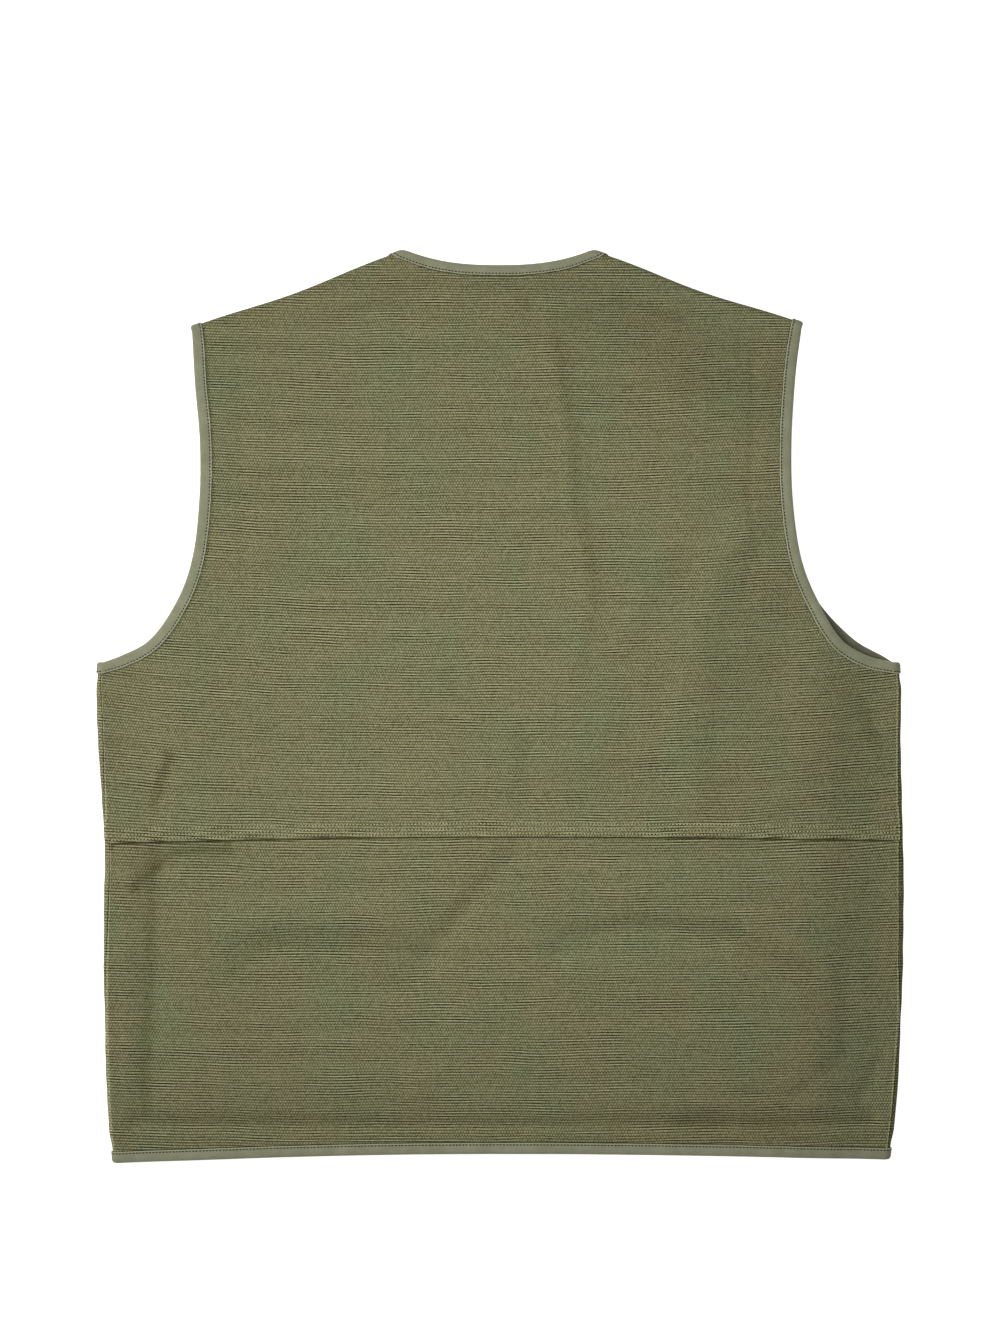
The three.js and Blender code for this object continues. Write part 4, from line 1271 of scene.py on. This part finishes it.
def front_piece(looks, side):
    sheet = Sheet()
    cell = CELL * 1.5
    shoulder = SHOULDER[side]
    arm = armhole_edge("front", side, cell)
    neck = front_neck_edge(side, cell)
    neck = Edge(neck.points[::-1], -side, neck.last, neck.first)
    top_count = steps_for(shoulder.length, cell)
    top = shoulder.along(shoulder_run(side, math.pi, top_count)[1:-1])
    spread = shares(top)
    hem = HemEdge(spread, at_zip(side), at_fold(side))
    fold_low = meet_fold(side, hem_y)[1]
    arm_low = arm.points[0][1]
    side_count = steps_for(arm_low - fold_low, cell)
    fold_ys = bound_run(fold_low, arm_low, side_count)
    fold_ys[0], fold_ys[1] = hem.at([TRIM, REACH])[-1, :, 1]
    edge_count = side_count + len(arm.points) - len(neck.points)
    edge_ys = bound_run(float(hem_y(side * FRONT_EDGE)), neck.points[0][1], edge_count)
    edge = pair(side * FRONT_EDGE, edge_ys[1:-1])
    inner = np.concatenate([edge, neck.at([REACH])[1:, 0]])
    outer = np.concatenate([side_point(side, fold_ys[1:-1]), arm.at([REACH])[1:, 0]])
    sheet.lay(fill(hem.at([REACH])[:, 0], top, inner, outer, spread, shares(outer)), front_height)
    for bound in (hem, arm, neck):
        sheet.lay(bound.at([TRIM, REACH]), front_height)
    share = np.linspace(0, 1, TURN_STEPS)[:, None]
    turns = lerp(math.pi, (seam_turn(side, fold_ys) + SEAM_TURN_GAP)[None], share)
    swell = side_swell(side, fold_ys[None], turns)
    # Painted light on the front's turned edge: lighter on the left, painted shade on the right.
    tone_shift = FRONT_EDGE_PAINTED_LIGHT[side_name(side)] * ease((share - 0.4) / 0.3)
    sheet.turn(SIDE[side], -fold_ys[None], turns, swell, tone_shift)
    turns = np.linspace(math.pi, SHOULDER_SEAM_TURN + SEAM_TURN_GAP, 5)
    ws = np.stack([shoulder_run(side, turn, top_count) for turn in turns])
    sheet.turn(shoulder, ws, turns[:, None])
    canvas = finish_of("woven_cotton_canvas", woven_canvas, looks)
    return sheet.piece(f"{side_name(side)}_front", CLOTH, canvas)


# What a user may change


def hex_colour(name, what, default):
    return bpy.props.StringProperty(name=name, description=f"sRGB hex of {what}", default=default)


def number(name, what, default, **limits):
    return bpy.props.FloatProperty(name=name, description=what, default=default, **limits)


class GiletLooks(bpy.types.PropertyGroup):
    """Colours and weave of the gilet"""

    canvas_green: hex_colour("Canvas green", "the greener yarn", "#5c5f45")
    canvas_brown: hex_colour("Canvas brown", "the browner yarn", "#625e45")
    tape_light: hex_colour("Tape light", "the tape where it is pressed", "#73745f")
    tape_dark: hex_colour("Tape dark", "the tape where it is drawn up", "#6b6c56")
    # Painted shade: the binding thread is set darker to stand also for the shade of its needle holes.
    tape_thread: hex_colour("Binding thread", "the thread on the tape", "#222312")
    seam_thread: hex_colour("Seam thread", "the thread on the canvas", "#9a9970")
    zip_colour: hex_colour("Zip", "the zip", "#5c5d43")
    weave_contrast: number("Weave contrast", "How dark the lines between ribs are", 1.1, min=0, max=1.5)


class GiletStudio(bpy.types.PropertyGroup):
    """Camera and light"""

    frame_width: number("Frame width", "Width of the view at the gilet", 0.771, min=0.1, unit="LENGTH")
    focal_length: number("Focal length", "Of the camera", 85, min=20, unit="CAMERA")
    high_power: number("High light", "Power of the softbox above the gilet", 5.5, min=0, unit="POWER")
    side_power: number("Side light", "Power of the softbox at the upper left", 140, min=0, unit="POWER")
    fill_strength: number("Fill", "Brightness of the even light from all round", 0.36, min=0)


def looks_of(context):
    return context.scene.gilet_looks


class MakeBackUpper(bpy.types.Operator):
    """Makes the upper back panel, from the shoulders to the lapped seam"""

    bl_idname = "gilet.back_upper"
    bl_label = "Upper back"

    def execute(self, context):
        made = back_upper_piece(looks_of(context))
        belongs(made, "back_upper")
        declare_cloth(made)
        return {"FINISHED"}


class MakeBackLower(bpy.types.Operator):
    """Makes the lower back panel, from under the lap to the hem"""

    bl_idname = "gilet.back_lower"
    bl_label = "Lower back"

    def execute(self, context):
        made = back_lower_piece(looks_of(context))
        belongs(made, "back_lower")
        declare_cloth(made)
        return {"FINISHED"}


class MakeFronts(bpy.types.Operator):
    """Makes the two front panels, with their turns up to the side and shoulder seams"""

    bl_idname = "gilet.fronts"
    bl_label = "Fronts"

    def execute(self, context):
        for side in (-1, 1):
            made = front_piece(looks_of(context), side)
            belongs(made, "front_" + side_name(side))
            declare_cloth(made)
        return {"FINISHED"}


def tape_piece(name, binding, closed, looks, node_name):
    made = binding.piece(name, finish_of("woven_cotton_tape", woven_tape, looks), closed)
    belongs(made, node_name)
    stitches = sew(binding, made, looks)
    area = flat_area(made)


class MakeNeckBinding(bpy.types.Operator):
    """Makes the folded tape round the neck and down both fronts, with its stitches"""

    bl_idname = "gilet.neck_binding"
    bl_label = "Neck binding"

    def execute(self, context):
        binding = Binding(NECK_SEED)
        fronts = {side: front_neck_edge(side, TAPE_CELL) for side in (-1, 1)}
        back = back_neck_edge(steps_for(NECK_WIDTH, TAPE_CELL))
        binding.lay(fronts[-1], front_height, -1, backwards=True)
        binding.turn(SHOULDER[-1], False, neck_shift, neck_spread)
        binding.lay(back, back_height, 1, wide=NECK_TAPE)
        binding.turn(SHOULDER[1], True, neck_shift, neck_spread)
        binding.lay(fronts[1], front_height, -1)
        tape_piece("neck_tape", binding, False, looks_of(context), "neck_binding")
        return {"FINISHED"}


class MakeArmholeBindings(bpy.types.Operator):
    """Makes the folded tape round each armhole, with its stitches"""

    bl_idname = "gilet.armhole_bindings"
    bl_label = "Armhole bindings"

    def execute(self, context):
        for side in (-1, 1):
            binding = Binding(ARM_SEED + side)
            low, shoulder = height_at(UNDERARM_UP), SHOULDER[side]
            binding.lay(armhole_edge("back", side, TAPE_CELL), back_height, 1, wide=ARM_TAPE)
            binding.turn(shoulder, True, shoulder.length, -1)
            binding.lay(armhole_edge("front", side, TAPE_CELL), front_height, -1, backwards=True)
            binding.turn(SIDE[side], False, -low, 1)
            name = "armhole_binding_" + side_name(side)
            tape_piece(f"{side_name(side)}_armhole_tape", binding, True, looks_of(context), name)
        return {"FINISHED"}


class MakeHemBinding(bpy.types.Operator):
    """Makes the folded tape along the hem of the fronts and the back, with its stitches"""

    bl_idname = "gilet.hem_binding"
    bl_label = "Hem binding"

    def execute(self, context):
        binding = Binding(HEM_SEED)
        ys = {side: meet_fold(side, hem_y)[1] for side in (-1, 1)}
        half = steps_for(HALF, TAPE_CELL)
        spread = np.linspace(0, 1, half + 1)
        fronts = {side: HemEdge(spread, at_zip(side), at_fold(side)) for side in (-1, 1)}
        back = HemEdge(np.linspace(0, 1, 2 * half + 1), at_fold(-1), at_fold(1))
        binding.lay(fronts[-1], front_height, -1)
        binding.turn(SIDE[-1], False, -ys[-1], -1)
        binding.lay(back, back_height, 1)
        binding.turn(SIDE[1], True, -ys[1], -1)
        binding.lay(fronts[1], front_height, -1, backwards=True)
        tape_piece("hem_tape", binding, False, looks_of(context), "hem_binding")
        return {"FINISHED"}


class MakeSeamStitches(bpy.types.Operator):
    """Makes the three rows of stitches on the lapped seam and the row along each side seam"""

    bl_idname = "gilet.seam_stitches"
    bl_label = "Seam stitches"

    def execute(self, context):
        looks = looks_of(context)
        thread = finish_of("spun_polyester_thread", spun_thread, looks.seam_thread)
        rng = np.random.default_rng(SEAM_SEED)
        rows = []
        for up in LAP_ROWS:
            left, right = (meet_fold(side, lap_y, up)[0] for side in (-1, 1))
            x = np.linspace(left, right, 600)
            y = lap_y(x) + up + LAP_ROW_WANDER * np.sin(x / 31 + up)
            z = upper_height(x, y) + CLOTH / 2 + LAP_STITCH_LIFT
            rows.append(walk(np.stack([x, y, z], axis=-1), LAP_PITCH, rng))
        made = [
            stitch_rows("lap_stitches", rows, thread, *LAP_STITCH),
            hole_shade_rows("lap_needle_hole_painted_shade", rows, HOLE_RADIUS, LAP_PITCH),
        ]
        rows = []
        for side in (-1, 1):
            for low, high, height in (
                (meet_fold(side, hem_y)[1] + REACH, meet_fold(side, lap_y)[1] - 1, back_height),
                (meet_fold(side, lap_y)[1] + LAP_DEPTH, height_at(UNDERARM_UP) - REACH, upper_height),
            ):
                y = np.linspace(low, high, 300)
                x = side_point(side, y)[:, 0]
                turn = seam_turn(side, y) * SIDE_ROW
                lift = height(x, y) - back_height(x, y) + side_swell(side, y, turn)
                lift = lift + CLOTH / 2 + SIDE_STITCH_LIFT
                rows.append(walk(SIDE[side].at(-y, turn, lift), SIDE_PITCH, rng))
        made.append(stitch_rows("side_stitches", rows, thread, *SIDE_STITCH))
        for piece in made:
            belongs(piece, None)
        return {"FINISHED"}


def box_mesh(bm, size, centre, bevel):
    """A block with softened edges."""
    made = bmesh.ops.create_cube(bm, size=1)["verts"]
    for vert in made:
        vert.co = Vector([(c + v * s) * MM for c, v, s in zip(centre, vert.co, size)])
    edges = {edge for vert in made for edge in vert.link_edges}
    bmesh.ops.bevel(bm, geom=list(edges), offset=bevel * MM, segments=2, affect="EDGES")


class MakeZip(bpy.types.Operator):
    """Makes the front zip: woven tapes, moulded teeth, and a slider with its pull"""

    bl_idname = "gilet.zip"
    bl_label = "Zip"

    def execute(self, context):
        looks = looks_of(context)
        plastic = finish_of("moulded_acetal", moulded_plastic, looks)
        tape_z = FRONT_Z + CLOTH / 2 + SEWN_GAP + ZIP_TAPE / 2
        top_z = tape_z + ZIP_TAPE / 2
        foot = float(hem_y(0.0)) + REACH
        head = LENGTH / 2 - FRONT_NECK_DROP - REACH - ZIP_DROP
        sheet = Sheet()
        for side in (-1, 1):
            xs = np.linspace(side * 0.35, side * ZIP_TAPE_WIDTH / 2, 7)
            ys = np.linspace(foot, head, 120)
            plan = pair(xs[None, :], ys[:, None])
            z = tape_z + 0.05 * np.sin(ys / 7)[:, None] + 0 * xs[None, :]
            sheet.add(np.concatenate([plan, z[..., None]], axis=-1), (plan[..., 0], plan[..., 1]))
        tape = sheet.piece("zip_tape", ZIP_TAPE, finish_of("woven_cotton_tape", woven_tape, looks))
        bm = bmesh.new()
        depth = CHAIN_DEPTH - 0.2
        for i, y in enumerate(np.arange(foot + 2, head - 2, TOOTH_PITCH / 2)):
            side = -1 if i % 2 else 1
            size = (CHAIN_WIDTH * TOOTH_SIZE[0], TOOTH_PITCH * TOOTH_SIZE[1], depth)
            box_mesh(bm, size, (side * CHAIN_WIDTH * TOOTH_OUT, y, top_z - CHAIN_DEPTH / 2), TOOTH_BEVEL)
        teeth = mesh_object("zip_teeth", bm, plastic)
        bm = bmesh.new()
        _, length, thick = SLIDER
        slider_z = top_z - CHAIN_DEPTH - thick / 2 + ZIP_TAPE / 2
        slider_y = head - length
        box_mesh(bm, SLIDER, (0, slider_y, slider_z), SLIDER_BEVEL)
        box_mesh(bm, (*PULL, thick * 0.9), (0, slider_y - PULL[1] / 2, slider_z), SLIDER_BEVEL)
        slider = mesh_object("zip_slider", bm, plastic)
        for piece in (tape, teeth, slider):
            belongs(piece, "front_zip")
        area = flat_area(tape)
        length = (head - foot) * MM
        return {"FINISHED"}


VIEW_SHAPE = 1.334  # height of the view by its width
VIEW_MIDDLE = (0.0004, 0.030)
LIGHTS_AIM = Vector((-0.05, 0.05, 0))


class MakeStage(bpy.types.Operator):
    """Makes the white floor, the soft lights and the camera straight above"""

    bl_idname = "gilet.stage"
    bl_label = "Stage"

    def execute(self, context):
        studio = context.scene.gilet_studio
        bm = bmesh.new()
        bmesh.ops.create_grid(bm, x_segments=8, y_segments=8, size=6)
        floor = mesh_object("floor", bm, finish_of("matt_painted_board", painted_board))
        floor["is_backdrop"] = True
        world = bpy.data.worlds.new("even studio light")
        world.use_nodes = True
        sky = world.node_tree.nodes["Background"]
        sky.inputs["Color"].default_value = (1.0, 1.0, 0.99, 1)
        sky.inputs["Strength"].default_value = studio.fill_strength
        context.scene.world = world
        softboxes = (
            ("high softbox", studio.high_power, 0.5, (-0.05, 0.06, 0.7)),
            ("side softbox", studio.side_power, 1.0, (-4.0, 0.8, 2.0)),
        )
        for name, power, size, place in softboxes:
            lamp = bpy.data.lights.new(name, "AREA")
            lamp.energy, lamp.size = power, size
            box = bpy.data.objects.new(name, lamp)
            box.location = place
            aim = LIGHTS_AIM - Vector(place)
            box.rotation_euler = aim.to_track_quat("-Z", "Y").to_euler()
            context.scene.collection.objects.link(box)
        lens = bpy.data.cameras.new("straight above")
        lens.lens = studio.focal_length
        lens.sensor_fit = "VERTICAL"
        lens.sensor_height = 36
        lens.dof.use_dof = False
        frame_height = studio.frame_width * VIEW_SHAPE
        camera = bpy.data.objects.new("straight above", lens)
        distance = studio.focal_length / lens.sensor_height * frame_height
        camera.location = (*VIEW_MIDDLE, BACK_Z * MM + distance)
        context.scene.collection.objects.link(camera)
        context.scene.camera = camera
        context.scene.view_settings.view_transform = "Standard"
        return {"FINISHED"}


PIECE_OPERATORS = (
    MakeStage,
    MakeBackUpper,
    MakeBackLower,
    MakeFronts,
    MakeNeckBinding,
    MakeArmholeBindings,
    MakeHemBinding,
    MakeSeamStitches,
    MakeZip,
)


class GiletPanel(bpy.types.Panel):
    """Lists the pieces of the gilet"""

    bl_idname = "GILET_PT_pieces"
    bl_label = "Canvas gilet"
    bl_space_type = "VIEW_3D"
    bl_region_type = "UI"
    bl_category = "Gilet"

    def draw(self, context):
        for group in (context.scene.gilet_looks, context.scene.gilet_studio):
            for name in group.__annotations__:
                self.layout.prop(group, name)
        for made in PIECE_OPERATORS:
            self.layout.operator(made.bl_idname)


CLASSES = (GiletLooks, GiletStudio, *PIECE_OPERATORS, GiletPanel)


def register():
    for each in CLASSES:
        bpy.utils.register_class(each)
    bpy.types.Scene.gilet_looks = bpy.props.PointerProperty(type=GiletLooks)
    bpy.types.Scene.gilet_studio = bpy.props.PointerProperty(type=GiletStudio)


def unregister():
    del bpy.types.Scene.gilet_looks
    del bpy.types.Scene.gilet_studio
    for each in reversed(CLASSES):
        bpy.utils.unregister_class(each)


def main():
    register()
    for made in PIECE_OPERATORS:
        group, name = made.bl_idname.split(".")
        getattr(getattr(bpy.ops, group), name)()
    boxes = {"cad": CAD_BOX, "visual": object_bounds()}
    plain = {name: [[float(v) for v in corner] for corner in box] for name, box in boxes.items()}


if __name__ == "__main__":
    main()
